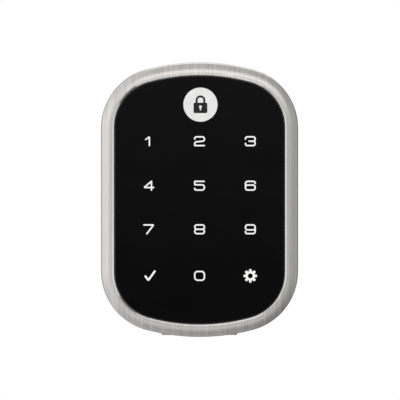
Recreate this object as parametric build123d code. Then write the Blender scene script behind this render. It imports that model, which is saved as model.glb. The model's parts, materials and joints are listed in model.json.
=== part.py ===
from build123d import *
import os
from math import acos, cos, degrees, hypot, atan2, pi, radians, sin, sqrt, tan

os.makedirs("parts", exist_ok=True)

# Keypad smart lock: the outside keypad unit, the parts that cross the door, and the motor unit
# on the inside. Millimetres. +X is right seen from outside, +Z is up, +Y goes into the door.
# The origin is the centre of the door's cross bore on the outer face of the door.

# ---- Door preparation ----
DOOR = 44.5                     # door thickness, 1-3/4 in
BOLT_X = 19.05                  # the two through bolts stand 38.1 mm apart

# ---- Outline that both units share: straight sides, round corners, bowed top and bottom ----
HALF_WIDTH = 33.35
HALF_HEIGHT = 46.45
CORNER_RADIUS = 20.55
BOW_RADIUS = 69.65
CORNER_X = HALF_WIDTH - CORNER_RADIUS
BOW_CENTRE = HALF_HEIGHT - BOW_RADIUS
CORNER_Z = BOW_CENTRE + sqrt((BOW_RADIUS - CORNER_RADIUS) ** 2 - CORNER_X ** 2)
BOW_ANGLE = degrees(atan2(CORNER_X, CORNER_Z - BOW_CENTRE))

# ---- Outside unit: insets from the outline ----
DRAFT = 0.55                    # the side wall leans in by this much
BEZEL_OUTER = 1.0
BEZEL_INNER = 4.15
CHAMFER_INNER = 4.6
GLASS_POCKET = 4.75
GLASS_INSET = 4.85
LEDGE_INSET = 7.2
SENSOR_INSET = 7.4
CAVITY_INSET = 2.6
BOARD_INSET = 3.2
PLATE_INSET = 2.8
SEAL_INNER = 3.2
GASKET_INSET = 0.35
GASKET_INNER = 5.0

# ---- Outside unit: depth stations along Y ----
HOUSING_BACK = -1.0
SEAL_HIGH = -1.8
SEAL_LOW = -3.2
PLATE_FRONT = -4.0
BOARD_BACK = -15.9
LEDGE_BACK = -17.1
LEDGE_FRONT = -19.7
GLASS_BACK = -19.9
SENSOR_BACK = -19.6
GLASS_FRONT = -21.7
BEZEL_LOW = -20.95
SHOULDER = -20.3
LIP = -22.0
EDGE_ROLL = (0.66, -20.68)      # inset and depth, half way round the small outer roll
BEZEL_CROWN = (2.5, -21.74)     # the same, half way across the shallow curve of the bezel
CHAMFER_END = -21.62
LIP_END = -21.5
GLASS_EDGE = 0.25

# ---- Keys ----
KEY_PITCH_X = 17.0
KEY_ROWS = (19.65, 4.75, -9.85, -25.45)
LEGEND_DEPTH = 0.25
STROKE = 0.48
ICON_STROKE = 0.64
GLYPH_WIDTH = 3.7
GLYPH_HEIGHT = 3.4
GLYPH_ROUND = 0.95
DISC_RADIUS = 5.72
DISC_X = 0.3
DISC_Z = 31.9

# ---- Fasteners and small fits ----
SLIP = 0.05                     # radial play of a sliding or screwed fit
ROOT = 1.0                      # what stands on a face starts this far inside it
BORE_SPARE = 0.5                # a blind bore runs this far past its screw's tip
HEX_SOCKET = 0.45               # socket size over head radius
BOARD_GAP = 0.3
BORE_PLAY = 0.2                 # radial room round a sunk head or a cable
BOARD_SCREW_ANGLE = 60.0        # places round each corner centre, up from the side
PLATE_SCREW_ANGLE = 20.0
BOARD_SCREW_INSET = 5.0
PLATE_SCREW_INSET = 5.5
BOARD_SCREW_RADIUS = 1.0
BOARD_SCREW_HEAD = (1.9, 1.2)   # radius and height, here and below
BOARD_SCREW_TIP = LEDGE_FRONT + 0.5
BOARD_BORE_END = LEDGE_FRONT + 0.35
PLATE_SCREW_RADIUS = 1.2
PLATE_SCREW_HEAD = (2.2, 1.4)
PLATE_SCREW_SEAT = -2.6
PLATE_SCREW_TIP = -12.0
BOSS_RADIUS = 3.0

# ---- Cross-door parts ----
SPIGOT_OUTER = 26.5
SPIGOT_INNER = 24.2
SPIGOT_END = 8.0
POST_RADIUS = 3.8
POST_END = 20.0
POST_BORE_START = 11.0
TENON_RADIUS = 2.6
RIVET_HEAD = (4.2, 0.8)
THROUGH_BOLT_RADIUS = 2.1
THROUGH_BOLT_HEAD = (3.4, 2.4)
BOLT_TIP = 12.0
CABLE_RADIUS = 1.7
CABLE_OUT_Z = -17.0
CABLE_IN_Z = -22.0
CABLE_HOLE_RADIUS = 4.6
PORT_RADIUS = 4.0
GROMMET_FLANGE = (5.2, 1.0)
SOCKET_HALF = (4.2, 3.0)        # half sizes along X and Z
SOCKET_WELL_HALF = (3.5, 2.3)
SOCKET_TALL = 4.0
SOCKET_FLOOR = 1.2
PLUG_HALF = (3.4, 2.2)
PLUG_START = 1.3                # both plugs, measured off their board
PLUG_END = 8.0
BLADE_TALL = 6.4
BLADE_THICK = 2.4
BLADE_START = 10.0
BLADE_END = 60.0

# ---- Tamper plunger of the outside unit, drawn free of the door ----
PLUNGER_Z = -34.0
PLUNGER_RADIUS = 1.5
PLUNGER_TRAVEL = 1.5            # the door presses it in flush
PLUNGER_COLLAR = 2.6
COLLAR_THICK = 0.8
COLLAR_BACK = PLATE_FRONT - 0.1
TAMPER_SWITCH_HALF = 3.0
TAMPER_SWITCH_BACK = -11.4
TAMPER_NIB = (0.8, 0.9)
PLUNGER_START = TAMPER_SWITCH_BACK + 2.7
TAMPER_SPRING_RADIUS = 2.1
TAMPER_SPRING_WIRE = 0.2

# ---- Backup terminals in the lower edge ----
TERMINAL_BLOCK_HALF = 12.7
TERMINAL_BLOCK_BOTTOM = -45.5
TERMINAL_BLOCK_TOP = -38.5
TERMINAL_WELL_DEPTH = 4.5
TERMINAL_CUT_TOP = -40.0
TERMINAL_BLOCK_Y = (-14.2, -4.4)
TERMINAL_X = 6.35               # 9 V battery contacts stand 12.7 mm apart
TERMINAL_RADIUS = 2.5
TERMINAL_LENGTH = 4.3
TERMINAL_PROUD = 0.25

# ---- Inside unit: insets ----
MOUNT_PLATE_INSET = 3.5
CHASSIS_INSET = 1.2
CHASSIS_INNER = 3.0
TONGUE_INSET = 3.1
TONGUE_INNER = 4.9
TONGUE_START = 33.0             # the tongues run above and below this height
WALL_LAP = 0.2                  # floor and tongue roots lie this far inside the wall
COVER_INSET = 1.0
COVER_INNER = 2.8

# ---- Inside unit: depth stations along Y ----
MOUNT_PLATE_FACE = DOOR
FLOOR_LOW = DOOR + 2.0
FLOOR_TOP = FLOOR_LOW + 2.0
FLOOR_SEAT = FLOOR_TOP - 0.8    # the chassis screws' heads lie on this
SENSOR_FLOOR = FLOOR_TOP - 0.5
CHASSIS_LOW = DOOR + 0.4
CHASSIS_RIM = 56.0
TONGUE_TOP = 62.0
FRAME_LOW = 53.3
FRAME_TOP = 54.8
CONTROL_LOW = 57.5
CONTROL_TOP = 58.7
INNER_COVER_LOW = 75.0
INNER_COVER_TOP = 76.5
COVER_LOW = 56.2
COVER_ROOF = 79.5
COVER_TOP = 81.5
COVER_ROUND = 4.0
TURN_DISC_LOW = 79.7
TURN_DISC_TOP = 82.7
TURN_TOP = 98.0

# ---- Drive: hub, gears and motor ----
GEAR_MODULE = 0.75
GEAR_TEETH = 36
PINION_TEETH = 12
PRESSURE_ANGLE = radians(25)
ADDENDUM = 0.85
DEDENDUM = 1.1
TOOTH_THINNING = 0.12
FLANK_STEPS = 4
GEAR_LOW = 49.2
GEAR_TOP = 52.7
PINION_Z = GEAR_MODULE * (GEAR_TEETH + PINION_TEETH) / 2
JOURNAL_RADIUS = 6.95
BUSHING_RADIUS = 8.5
BUSHING_FLANGE_RADIUS = 9.0
BUSHING_FLANGE = 0.6
SEAT_RADIUS = 6.0
SEAT_FLAT = 5.0
SHAFT_RADIUS = 5.0
SHAFT_END = 66.0
SQUARE_SIDE = 6.0
SQUARE_END = 78.0
HUB_START = 45.1
CLIP_LOW = 45.7
CLIP_TOP = 46.3
CLIP_GROOVE = 5.8
CLIP_RADIUS = 8.2
MOTOR_SHAFT_RADIUS = 1.5
MOTOR_HALF_X = 6.0
MOTOR_HALF_Z = 5.0
GEARBOX_TOP = 63.8
MOTOR_TOP = 78.6
SENSE_RADIUS = 11.2             # magnet and hall sensors stand this far from the hub axis
HALL_SPOTS = ((0, -SENSE_RADIUS), (-SENSE_RADIUS, 0))
HALL_HALF = 1.2
HALL_POCKET_HALF = 1.3
MAGNET_PIN = (0.9, 1.2)
GEAR_WEB = (12.0, 7.6, 0.8)     # outer and inner radius and depth of the gear's face recess
HUB_HOLE_RADIUS = 9.5
BLADE_PLAY = 0.1
SHAFT_HOLE_PLAY = 0.7

# ---- Thumbturn ----
TURN_BOSS_RADIUS = 8.0
TURN_DISC_RADIUS = 15.2
TURN_HOLE_RADIUS = 15.7
TURN_GRIP_LENGTH = 29.0
TURN_GRIP_THICK = 9.0
TURN_GRIP_TAPER = 2.0
GRUB_Y = 69.5
GRUB_RADIUS = 1.25

# ---- Batteries: four AA cells ----
CELL_RADIUS = 7.1
CELL_BODY = 49.2
CELL_NUB = 1.0
CELL_NUB_RADIUS = 2.7
CELL_X = 22.6
CELL_LAYERS = (56.6, 71.2)
CONTACT_Z = 27.5                # face of the contact plates
CONTACT_THICK = 0.4
BAY_WALL = 1.6
CRADLE_X = 14.55
CRADLE_WALL = 0.8
CRADLE_TOP = 64.0
BAY_TOP = 77.0

# ---- Mechanism frame and its legs ----
FRAME_HALF_X = 13.8
FRAME_Z = (-17.5, 28.0)
FRAME_LEGS = ((-11.0, 24.0), (11.0, 24.0), (-11.5, -14.5), (11.5, -14.5))
FRAME_LEG_RADIUS = 2.2
SMALL_SCREW_RADIUS = 1.0
SMALL_SCREW_HEAD = (1.8, 1.2)
SMALL_SCREW_LENGTH = 5.2
SMALL_BORE_SPARE = 0.8

# ---- Control board, privacy button and inner cover ----
CONTROL_HALF_X = 13.5
CONTROL_Z = (-37.8, -12.0)
CONTROL_BOSSES = ((-10.0, -35.0), (10.0, -35.0), (-11.5, -19.5), (11.5, -19.5))
CONTROL_BOSS_RADIUS = 1.8
COVER_POSTS = ((-10.0, 36.5), (10.0, 36.5), (-6.5, -40.5), (6.5, -40.5))
COVER_POST_RADIUS = 2.0
INNER_COVER_HALF_X = 14.4
INNER_COVER_INSET = 5.0
MAGNET_SPOTS = ((-11.0, 31.0), (11.0, 31.0), (-11.0, -27.0), (11.0, -27.0))
MAGNET_RADIUS = 2.5
KEEPER_LOW = 78.5
BUTTON_Z = -33.0
BUTTON_STEM_RADIUS = 2.0
BUTTON_STEM_END = 63.0
BUTTON_CAP_RADIUS = 4.5
BUTTON_CAP_LOW = 77.2
BUTTON_TOP = 82.3
BUTTON_SWITCH_TOP = 62.2
CHASSIS_SCREWS = ((-CELL_X, -20.0), (CELL_X, -20.0), (-CELL_X, 20.0), (CELL_X, 20.0))
CHASSIS_SCREW_RADIUS = 1.2
CHASSIS_SCREW_HEAD = (2.4, 1.2)
CHASSIS_SCREW_TIP = DOOR + 0.2


# ---- Helpers ----
def slab(sketch, y_low, y_high):
    """Extrude a flat sketch, drawn as (X, Z), through the depths y_low to y_high."""
    plane = Plane(origin=(0, y_high, 0), x_dir=(1, 0, 0), z_dir=(0, -1, 0))
    return extrude(plane * sketch, amount=y_high - y_low)


def rod(radius, y_low, y_high, x=0.0, z=0.0):
    """Round bar along Y."""
    return slab(Pos(x, z) * Circle(radius), y_low, y_high)


def tube(outer, inner, y_low, y_high, x=0.0, z=0.0):
    """Round ring along Y."""
    return rod(outer, y_low, y_high, x, z) - rod(inner, y_low, y_high, x, z)


def block(x_range, y_range, z_range):
    """Rectangular block between two corners."""
    low = Vector(x_range[0], y_range[0], z_range[0])
    high = Vector(x_range[1], y_range[1], z_range[1])
    size = high - low
    return Pos((low + high) / 2) * Box(size.X, size.Y, size.Z)


def group(items):
    """Separate solids that share one node."""
    return Compound([solid for item in items for solid in item.solids()])


def outline(inset):
    """Face of the shared outline, pulled in all round by inset."""
    side = HALF_WIDTH - inset
    corner = CORNER_RADIUS - inset
    bow = BOW_RADIUS - inset
    sweep_angle = 90 - BOW_ANGLE
    return make_face([
        Line((side, -CORNER_Z), (side, CORNER_Z)),
        CenterArc((CORNER_X, CORNER_Z), corner, 0, sweep_angle),
        CenterArc((0, BOW_CENTRE), bow, sweep_angle, 2 * BOW_ANGLE),
        CenterArc((-CORNER_X, CORNER_Z), corner, 90 + BOW_ANGLE, sweep_angle),
        Line((-side, CORNER_Z), (-side, -CORNER_Z)),
        CenterArc((-CORNER_X, -CORNER_Z), corner, 180, sweep_angle),
        CenterArc((0, -BOW_CENTRE), bow, 180 + sweep_angle, 2 * BOW_ANGLE),
        CenterArc((CORNER_X, -CORNER_Z), corner, 270 + BOW_ANGLE, sweep_angle),
    ])


def frame_slab(outer_inset, inner_inset, y_low, y_high):
    """Ring between two insets of the outline."""
    return slab(outline(outer_inset) - outline(inner_inset), y_low, y_high)


def corner_spot(inset, angle):
    """Point at an inset of the outline, at an angle up from the side, in the upper right corner."""
    reach = CORNER_RADIUS - inset
    return CORNER_X + reach * cos(radians(angle)), CORNER_Z + reach * sin(radians(angle))


def four_corners(inset, angle):
    """The same corner spot in all four corners."""
    x, z = corner_spot(inset, angle)
    return [(x, z), (-x, z), (-x, -z), (x, -z)]


def swept_ring(edges):
    """Sweep a closed section round the outline. The section is drawn at Z = 0 as (X, Y)."""
    side = HALF_WIDTH
    sweep_angle = 90 - BOW_ANGLE
    upright = Plane(origin=(0, 0, 0), x_dir=(1, 0, 0), z_dir=(0, -1, 0))
    path = Wire([
        Line((side, 0), (side, CORNER_Z)).edge(),
        CenterArc((CORNER_X, CORNER_Z), CORNER_RADIUS, 0, sweep_angle).edge(),
        CenterArc((0, BOW_CENTRE), BOW_RADIUS, sweep_angle, 2 * BOW_ANGLE).edge(),
        CenterArc((-CORNER_X, CORNER_Z), CORNER_RADIUS, 90 + BOW_ANGLE, sweep_angle).edge(),
        Line((-side, CORNER_Z), (-side, -CORNER_Z)).edge(),
        CenterArc((-CORNER_X, -CORNER_Z), CORNER_RADIUS, 180, sweep_angle).edge(),
        CenterArc((0, -BOW_CENTRE), BOW_RADIUS, 180 + sweep_angle, 2 * BOW_ANGLE).edge(),
        CenterArc((CORNER_X, -CORNER_Z), CORNER_RADIUS, 270 + BOW_ANGLE, sweep_angle).edge(),
        Line((side, -CORNER_Z), (side, 0)).edge(),
    ])
    return sweep(make_face(edges), path=upright * path)


def screw(x, z, head_face, tip, head, shank_radius):
    """Pan-head screw along Y with a hexagon socket. Its head lies past head_face, away from tip."""
    head_radius, head_height = head
    away = 1 if head_face > tip else -1
    head_top = head_face + away * head_height
    socket_floor = head_face + away * head_height * 0.4
    pan = rod(head_radius, min(head_face, head_top), max(head_face, head_top), x, z)
    crown = pan.faces().sort_by(Axis.Y)[-1 if away > 0 else 0]
    pan = fillet(crown.edges(), head_height * 0.3)
    shank = rod(shank_radius, min(tip, head_face), max(tip, head_face), x, z)
    hexagon = Pos(x, z) * RegularPolygon(head_radius * HEX_SOCKET, 6)
    socket = slab(hexagon, min(socket_floor, head_top), max(socket_floor, head_top))
    return pan + shank - socket


def coil_spring(mean_radius, wire_radius, length, turns):
    """Compression spring that stands on the origin along +Z."""
    rise = length - 2 * wire_radius
    path = Helix(pitch=rise / turns, height=rise, radius=mean_radius)
    section = Plane(origin=path @ 0, z_dir=path % 0) * Circle(wire_radius)
    return Pos(0, 0, wire_radius) * sweep(section, path=path, is_frenet=True)


def cable_socket(face, away, z):
    """Connector on a board's face, open the way that away points along Y."""
    def hull(half, start):
        depths = sorted((face + away * start, face + away * SOCKET_TALL))
        return block((-half[0], half[0]), depths, (z - half[1], z + half[1]))

    return hull(SOCKET_HALF, 0) - hull(SOCKET_WELL_HALF, SOCKET_FLOOR)


def cable_plug(face, away, z):
    """Plug that stands in a cable socket."""
    depths = sorted((face + away * PLUG_START, face + away * PLUG_END))
    return block((-PLUG_HALF[0], PLUG_HALF[0]), depths, (z - PLUG_HALF[1], z + PLUG_HALF[1]))


# ---- Legend shapes, drawn round their own centre as (X, Z) ----
def stroke(points, width=STROKE):
    """Round-ended stroke through points given as (x, z, corner radius), half the glyph being 1."""
    half_x = (GLYPH_WIDTH - width) / 2
    half_z = (GLYPH_HEIGHT - width) / 2
    places = [(x * half_x, z * half_z) for x, z, _ in points]
    if len(places) == 2:
        (x0, z0), (x1, z1) = places
        reach = hypot(x1 - x0, z1 - z0) + width
        turn = Rot(0, 0, degrees(atan2(z1 - z0, x1 - x0)))
        return Pos((x0 + x1) / 2, (z0 + z1) / 2) * turn * SlotOverall(reach, width)
    route = FilletPolyline(*places, radius=[radius for _, _, radius in points[1:-1]])
    return SlotArc(route, width)


def loop(width, height, corner):
    """Closed rounded stroke."""
    hole = RectangleRounded(width - 2 * STROKE, height - 2 * STROKE, corner - STROKE)
    return RectangleRounded(width, height, corner) - hole


def digit_six():
    """Lower loop with a hooked upper arm."""
    height = 2.15
    bowl = Pos(0, (height - GLYPH_HEIGHT) / 2) * loop(GLYPH_WIDTH, height, GLYPH_ROUND)
    return bowl + stroke([(1, 0.5, 0), (1, 1, 0.6), (-1, 1, 0.7), (-1, -0.4, 0)])


def digit_eight():
    """Two stacked loops that share their middle bar."""
    height = (GLYPH_HEIGHT + STROKE) / 2
    lift = (GLYPH_HEIGHT - height) / 2
    ring = loop(GLYPH_WIDTH, height, GLYPH_ROUND)
    return Pos(0, lift) * ring + Pos(0, -lift) * ring


def digit(symbol):
    """Rounded, wide digits of one stroke width."""
    if symbol == "0":
        return loop(GLYPH_WIDTH, GLYPH_HEIGHT, 1.2)
    if symbol == "1":
        return stroke([(-0.62, 0.4, 0), (0.12, 1, 0.1), (0.12, -1, 0)])
    if symbol == "2":
        return stroke([(-1, 0.5, 0), (-1, 1, 0.6), (1, 1, 0.7), (1, 0.05, 0.6),
                       (-1, -0.2, 0.6), (-1, -1, 0.12), (1, -1, 0)])
    if symbol == "3":
        arm = stroke([(-1, 0.5, 0), (-1, 1, 0.6), (1, 1, 0.65), (1, 0, 0.65), (-0.25, 0, 0)])
        return arm + mirror(arm, about=Plane.XZ)
    if symbol == "4":
        return stroke([(0.56, 1, 0), (-1, -0.42, 0.12), (1, -0.42, 0)]) + stroke(
            [(0.56, 1, 0), (0.56, -1, 0)])
    if symbol == "5":
        return stroke([(0.95, 1, 0), (-1, 1, 0.12), (-1, 0.2, 0.12), (1, 0.2, 0.75),
                       (1, -1, 0.75), (-1, -1, 0.5), (-1, -0.6, 0)])
    if symbol == "6":
        return digit_six()
    if symbol == "7":
        return stroke([(-1, 1, 0), (1, 1, 0.12), (-0.4, -1, 0)])
    if symbol == "8":
        return digit_eight()
    return Rot(0, 0, 180) * digit_six()


def check_icon():
    """Check mark."""
    return stroke([(-0.73, -0.12, 0), (-0.1, -1.04, 0.15), (1.3, 1.1, 0)], ICON_STROKE)


def gear_icon():
    """Settings wheel with eight rounded teeth."""
    body_radius = 1.62
    hole_radius = 0.84
    tooth_width = 0.82
    tooth_reach = 2.24
    teeth = 8
    wheel = Circle(body_radius)
    for index in range(teeth // 2):
        wheel += Rot(0, 0, index * 360 / teeth) * RectangleRounded(2 * tooth_reach, tooth_width, 0.2)
    return wheel - Circle(hole_radius)


def padlock_icon():
    """Padlock with a round keyhole, the plain sign on the status disc."""
    body = Pos(0, -1.1) * RectangleRounded(4.6, 3.5, 0.5)
    shackle = Pos(0, 1.0) * (RectangleRounded(3.3, 4.2, 1.64) - RectangleRounded(1.9, 2.8, 0.94))
    keyhole = Pos(0, -0.75) * Circle(0.5) + Pos(0, -1.45) * Rectangle(0.4, 1.0)
    return body + shackle - keyhole


def key_spots():
    """Legend of each key with its centre, row by row."""
    symbols = ("123", "456", "789", "c0s")
    for row, z in zip(symbols, KEY_ROWS):
        for column, symbol in enumerate(row):
            yield symbol, (column - 1) * KEY_PITCH_X, z


def legend(sketch, x, z):
    """A legend inlaid flush in the front of the glass."""
    return slab(Pos(x, z) * sketch, GLASS_FRONT, GLASS_FRONT + LEGEND_DEPTH)


# ---- Outside unit ----
def front_housing():
    """Die-cast case: drafted wall, convex bezel, glass pocket, ledge and screw bosses."""
    def at(inset, y):
        return HALF_WIDTH - inset, y

    case = swept_ring([
        Line(at(0, HOUSING_BACK), at(DRAFT, SHOULDER)),
        ThreePointArc(at(DRAFT, SHOULDER), at(*EDGE_ROLL), at(BEZEL_OUTER, BEZEL_LOW)),
        ThreePointArc(at(BEZEL_OUTER, BEZEL_LOW), at(*BEZEL_CROWN), at(BEZEL_INNER, LIP)),
        Line(at(BEZEL_INNER, LIP), at(CHAMFER_INNER, CHAMFER_END)),
        Line(at(CHAMFER_INNER, CHAMFER_END), at(GLASS_POCKET, LIP_END)),
        Line(at(GLASS_POCKET, LIP_END), at(GLASS_POCKET, LEDGE_FRONT)),
        Line(at(GLASS_POCKET, LEDGE_FRONT), at(LEDGE_INSET, LEDGE_FRONT)),
        Line(at(LEDGE_INSET, LEDGE_FRONT), at(LEDGE_INSET, LEDGE_BACK)),
        Line(at(LEDGE_INSET, LEDGE_BACK), at(CAVITY_INSET, LEDGE_BACK)),
        Line(at(CAVITY_INSET, LEDGE_BACK), at(CAVITY_INSET, HOUSING_BACK)),
        Line(at(CAVITY_INSET, HOUSING_BACK), at(0, HOUSING_BACK)),
    ])
    for x, z in four_corners(PLATE_SCREW_INSET, PLATE_SCREW_ANGLE):
        case += rod(BOSS_RADIUS, LEDGE_BACK, PLATE_FRONT, x, z)
    for x, z in four_corners(PLATE_SCREW_INSET, PLATE_SCREW_ANGLE):
        case -= rod(PLATE_SCREW_RADIUS + SLIP, PLATE_SCREW_TIP - BORE_SPARE, PLATE_FRONT, x, z)
    for x, z in four_corners(BOARD_SCREW_INSET, BOARD_SCREW_ANGLE):
        case -= rod(BOARD_SCREW_RADIUS + SLIP, BOARD_BORE_END, LEDGE_BACK, x, z)
    half = TERMINAL_BLOCK_HALF + SLIP
    low, high = TERMINAL_BLOCK_Y
    return case - block((-half, half), (low - SLIP, high + SLIP), (-HALF_HEIGHT - ROOT, TERMINAL_CUT_TOP))


def all_legends():
    """Every inlay of the glass in one body, used to cut their pockets."""
    inlays = [number_legends(), icon_legends()]
    inlays.append(rod(DISC_RADIUS, GLASS_FRONT, GLASS_FRONT + LEGEND_DEPTH, DISC_X, DISC_Z))
    return group(inlays)


def touch_glass():
    """Touch window with a softened front edge and shallow pockets for the legends."""
    glass = slab(outline(GLASS_INSET), GLASS_FRONT, GLASS_BACK)
    glass = fillet(glass.faces().sort_by(Axis.Y)[0].edges(), GLASS_EDGE)
    for inlay in all_legends().solids():
        glass -= inlay
    return glass


def number_legends():
    """The ten digits, one solid each."""
    return group(legend(digit(symbol), x, z) for symbol, x, z in key_spots() if symbol.isdigit())


def icon_legends():
    """Check mark and settings wheel of the lowest row."""
    icons = {"c": check_icon, "s": gear_icon}
    return group(legend(icons[symbol](), x, z) for symbol, x, z in key_spots() if symbol in icons)


def status_symbol():
    """Padlock inlaid in the status disc."""
    return legend(padlock_icon(), DISC_X, DISC_Z)


def status_disc():
    """Round status window above the keys."""
    disc = rod(DISC_RADIUS, GLASS_FRONT, GLASS_FRONT + LEGEND_DEPTH, DISC_X, DISC_Z)
    return disc - status_symbol()


def glass_adhesive():
    """Tape that bonds the glass to the ledge."""
    return frame_slab(GLASS_INSET + SLIP, LEDGE_INSET, GLASS_BACK, LEDGE_FRONT)


def touch_sensor_sheet():
    """Film with the touch electrodes and its tail, on the back of the glass."""
    return slab(outline(SENSOR_INSET), GLASS_BACK, SENSOR_BACK)


def light_spots():
    """A light for each key and one for the status disc."""
    return [(x, z) for _, x, z in key_spots()] + [(DISC_X, DISC_Z)]


def light_guide():
    """Clear plate between the touch film and the board, with a pocket over each light."""
    plate = slab(outline(SENSOR_INSET), SENSOR_BACK + SLIP, LEDGE_BACK)
    pocket_half = 1.8
    pocket_depth = 0.9
    for x, z in light_spots():
        plate -= block((x - pocket_half, x + pocket_half), (LEDGE_BACK - pocket_depth, LEDGE_BACK),
                       (z - pocket_half, z + pocket_half))
    return plate


def key_leds():
    """White lights on the front of the keypad board."""
    half_x = 0.8
    half_z = 0.4
    height = 0.6
    return group(block((x - half_x, x + half_x), (LEDGE_BACK - height, LEDGE_BACK),
                       (z - half_z, z + half_z)) for x, z in light_spots())


def keypad_board():
    """Circuit board behind the ledge, cut clear of the bosses."""
    board = slab(outline(BOARD_INSET), LEDGE_BACK, BOARD_BACK)
    for x, z in four_corners(PLATE_SCREW_INSET, PLATE_SCREW_ANGLE):
        board -= rod(BOSS_RADIUS + BOARD_GAP, LEDGE_BACK, BOARD_BACK, x, z)
    for x, z in four_corners(BOARD_SCREW_INSET, BOARD_SCREW_ANGLE):
        board -= rod(BOARD_SCREW_RADIUS + SLIP, LEDGE_BACK, BOARD_BACK, x, z)
    return board


def keypad_board_chips():
    """Controller, touch chip, memory and power parts: x, z, width, height and thickness of each."""
    packages = ((-13, 9, 7, 7, 1.0), (12, 2, 5, 5, 0.9), (-13, -6, 5, 4, 0.9), (11, -12, 4, 3, 1.1),
                (-4, 6, 3.2, 2.5, 0.8), (2, 12, 2, 1.2, 0.8), (6, 12, 2, 1.2, 0.8),
                (-20, 0, 1.6, 0.8, 0.7), (-20, 3, 1.6, 0.8, 0.7), (20, 8, 3, 3, 2.0))
    return group(block((x - wide / 2, x + wide / 2), (BOARD_BACK, BOARD_BACK + high),
                       (z - tall / 2, z + tall / 2)) for x, z, wide, tall, high in packages)


def keypad_board_screws():
    """Four screws that clamp the board on the ledge."""
    return group(screw(x, z, BOARD_BACK, BOARD_SCREW_TIP, BOARD_SCREW_HEAD, BOARD_SCREW_RADIUS)
                 for x, z in four_corners(BOARD_SCREW_INSET, BOARD_SCREW_ANGLE))


def buzzer():
    """Round sounder with its sound hole."""
    x = 7.0
    z = 26.0
    top = BOARD_BACK + 4.0
    sound_hole = rod(1.0, top - 1.0, top, x, z)
    return rod(6.0, BOARD_BACK, top, x, z) - sound_hole


def keypad_cable_socket():
    """Connector for the door cable on the keypad board."""
    return cable_socket(BOARD_BACK, 1, CABLE_OUT_Z)


def terminal_block():
    """Insulating block of the backup battery contacts, flat below, set in the bowed lower edge."""
    half = TERMINAL_BLOCK_HALF
    body = block((-half, half), TERMINAL_BLOCK_Y, (TERMINAL_BLOCK_BOTTOM, TERMINAL_BLOCK_TOP))
    body = fillet(body.faces().sort_by(Axis.Z)[0].edges(), 0.4)
    middle = sum(TERMINAL_BLOCK_Y) / 2
    for x in (-TERMINAL_X, TERMINAL_X):
        well = Cylinder(TERMINAL_RADIUS + SLIP, 2 * TERMINAL_WELL_DEPTH)
        body -= Pos(x, middle, TERMINAL_BLOCK_BOTTOM) * well
    return body


def backup_terminals():
    """Two domed contact studs, 9 V battery spacing."""
    middle = sum(TERMINAL_BLOCK_Y) / 2
    stud = Cylinder(TERMINAL_RADIUS, TERMINAL_LENGTH)
    stud = fillet(stud.faces().sort_by(Axis.Z)[0].edges(), 0.6)
    lift = TERMINAL_BLOCK_BOTTOM - TERMINAL_PROUD + TERMINAL_LENGTH / 2
    return group(Pos(x, middle, lift) * stud for x in (-TERMINAL_X, TERMINAL_X))


def outside_back_plate():
    """Steel plate that closes the housing, with the spigot that centres in the door bore."""
    plate = slab(outline(PLATE_INSET), PLATE_FRONT, HOUSING_BACK)
    plate -= frame_slab(PLATE_INSET - ROOT, SEAL_INNER, SEAL_LOW, SEAL_HIGH)
    plate += tube(SPIGOT_OUTER, SPIGOT_INNER, HOUSING_BACK - ROOT, SPIGOT_END)
    plate -= rod(PORT_RADIUS, PLATE_FRONT, HOUSING_BACK, 0, CABLE_OUT_Z)
    plate -= rod(PLUNGER_RADIUS + SLIP, PLATE_FRONT, HOUSING_BACK, 0, PLUNGER_Z)
    for x in (-BOLT_X, BOLT_X):
        plate -= rod(TENON_RADIUS + SLIP, PLATE_FRONT, HOUSING_BACK, x, 0)
    for x, z in four_corners(PLATE_SCREW_INSET, PLATE_SCREW_ANGLE):
        plate -= rod(PLATE_SCREW_RADIUS + SLIP, PLATE_FRONT, HOUSING_BACK, x, z)
        plate -= rod(PLATE_SCREW_HEAD[0] + BORE_PLAY, PLATE_SCREW_SEAT, HOUSING_BACK, x, z)
    return plate


def back_plate_screws():
    """Four screws with their heads sunk in the plate."""
    return group(screw(x, z, PLATE_SCREW_SEAT, PLATE_SCREW_TIP, PLATE_SCREW_HEAD, PLATE_SCREW_RADIUS)
                 for x, z in four_corners(PLATE_SCREW_INSET, PLATE_SCREW_ANGLE))


def housing_seal():
    """Rubber seal in the edge groove of the back plate."""
    return frame_slab(CAVITY_INSET, SEAL_INNER, SEAL_LOW, SEAL_HIGH)


def cable_grommet():
    """Rubber bush of the cable port."""
    radius, thick = GROMMET_FLANGE
    hole = CABLE_RADIUS + 2 * SLIP
    flange = tube(radius, hole, PLATE_FRONT - thick, PLATE_FRONT, 0, CABLE_OUT_Z)
    return flange + tube(PORT_RADIUS, hole, PLATE_FRONT, HOUSING_BACK, 0, CABLE_OUT_Z)


def door_gasket():
    """Foam ring between the unit and the door."""
    return frame_slab(GASKET_INSET, GASKET_INNER, HOUSING_BACK, 0)


def mounting_posts():
    """Threaded posts riveted into the back plate, which take the through bolts."""
    posts = []
    for x in (-BOLT_X, BOLT_X):
        post = rod(POST_RADIUS, HOUSING_BACK, POST_END, x) + rod(TENON_RADIUS, PLATE_FRONT, 0, x)
        post += rod(RIVET_HEAD[0], PLATE_FRONT - RIVET_HEAD[1], PLATE_FRONT, x)
        post -= rod(THROUGH_BOLT_RADIUS + SLIP, POST_BORE_START, POST_END, x)
        posts.append(chamfer(post.faces().sort_by(Axis.Y)[-1].outer_wire().edges(), 0.5))
    return group(posts)


def tamper_switch():
    """Small switch that senses the unit leaving the door."""
    half = TAMPER_SWITCH_HALF
    nib_radius, nib_height = TAMPER_NIB
    body = block((-half, half), (BOARD_BACK, TAMPER_SWITCH_BACK), (PLUNGER_Z - half, PLUNGER_Z + half))
    return body + rod(nib_radius, TAMPER_SWITCH_BACK, TAMPER_SWITCH_BACK + nib_height, 0, PLUNGER_Z)


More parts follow.
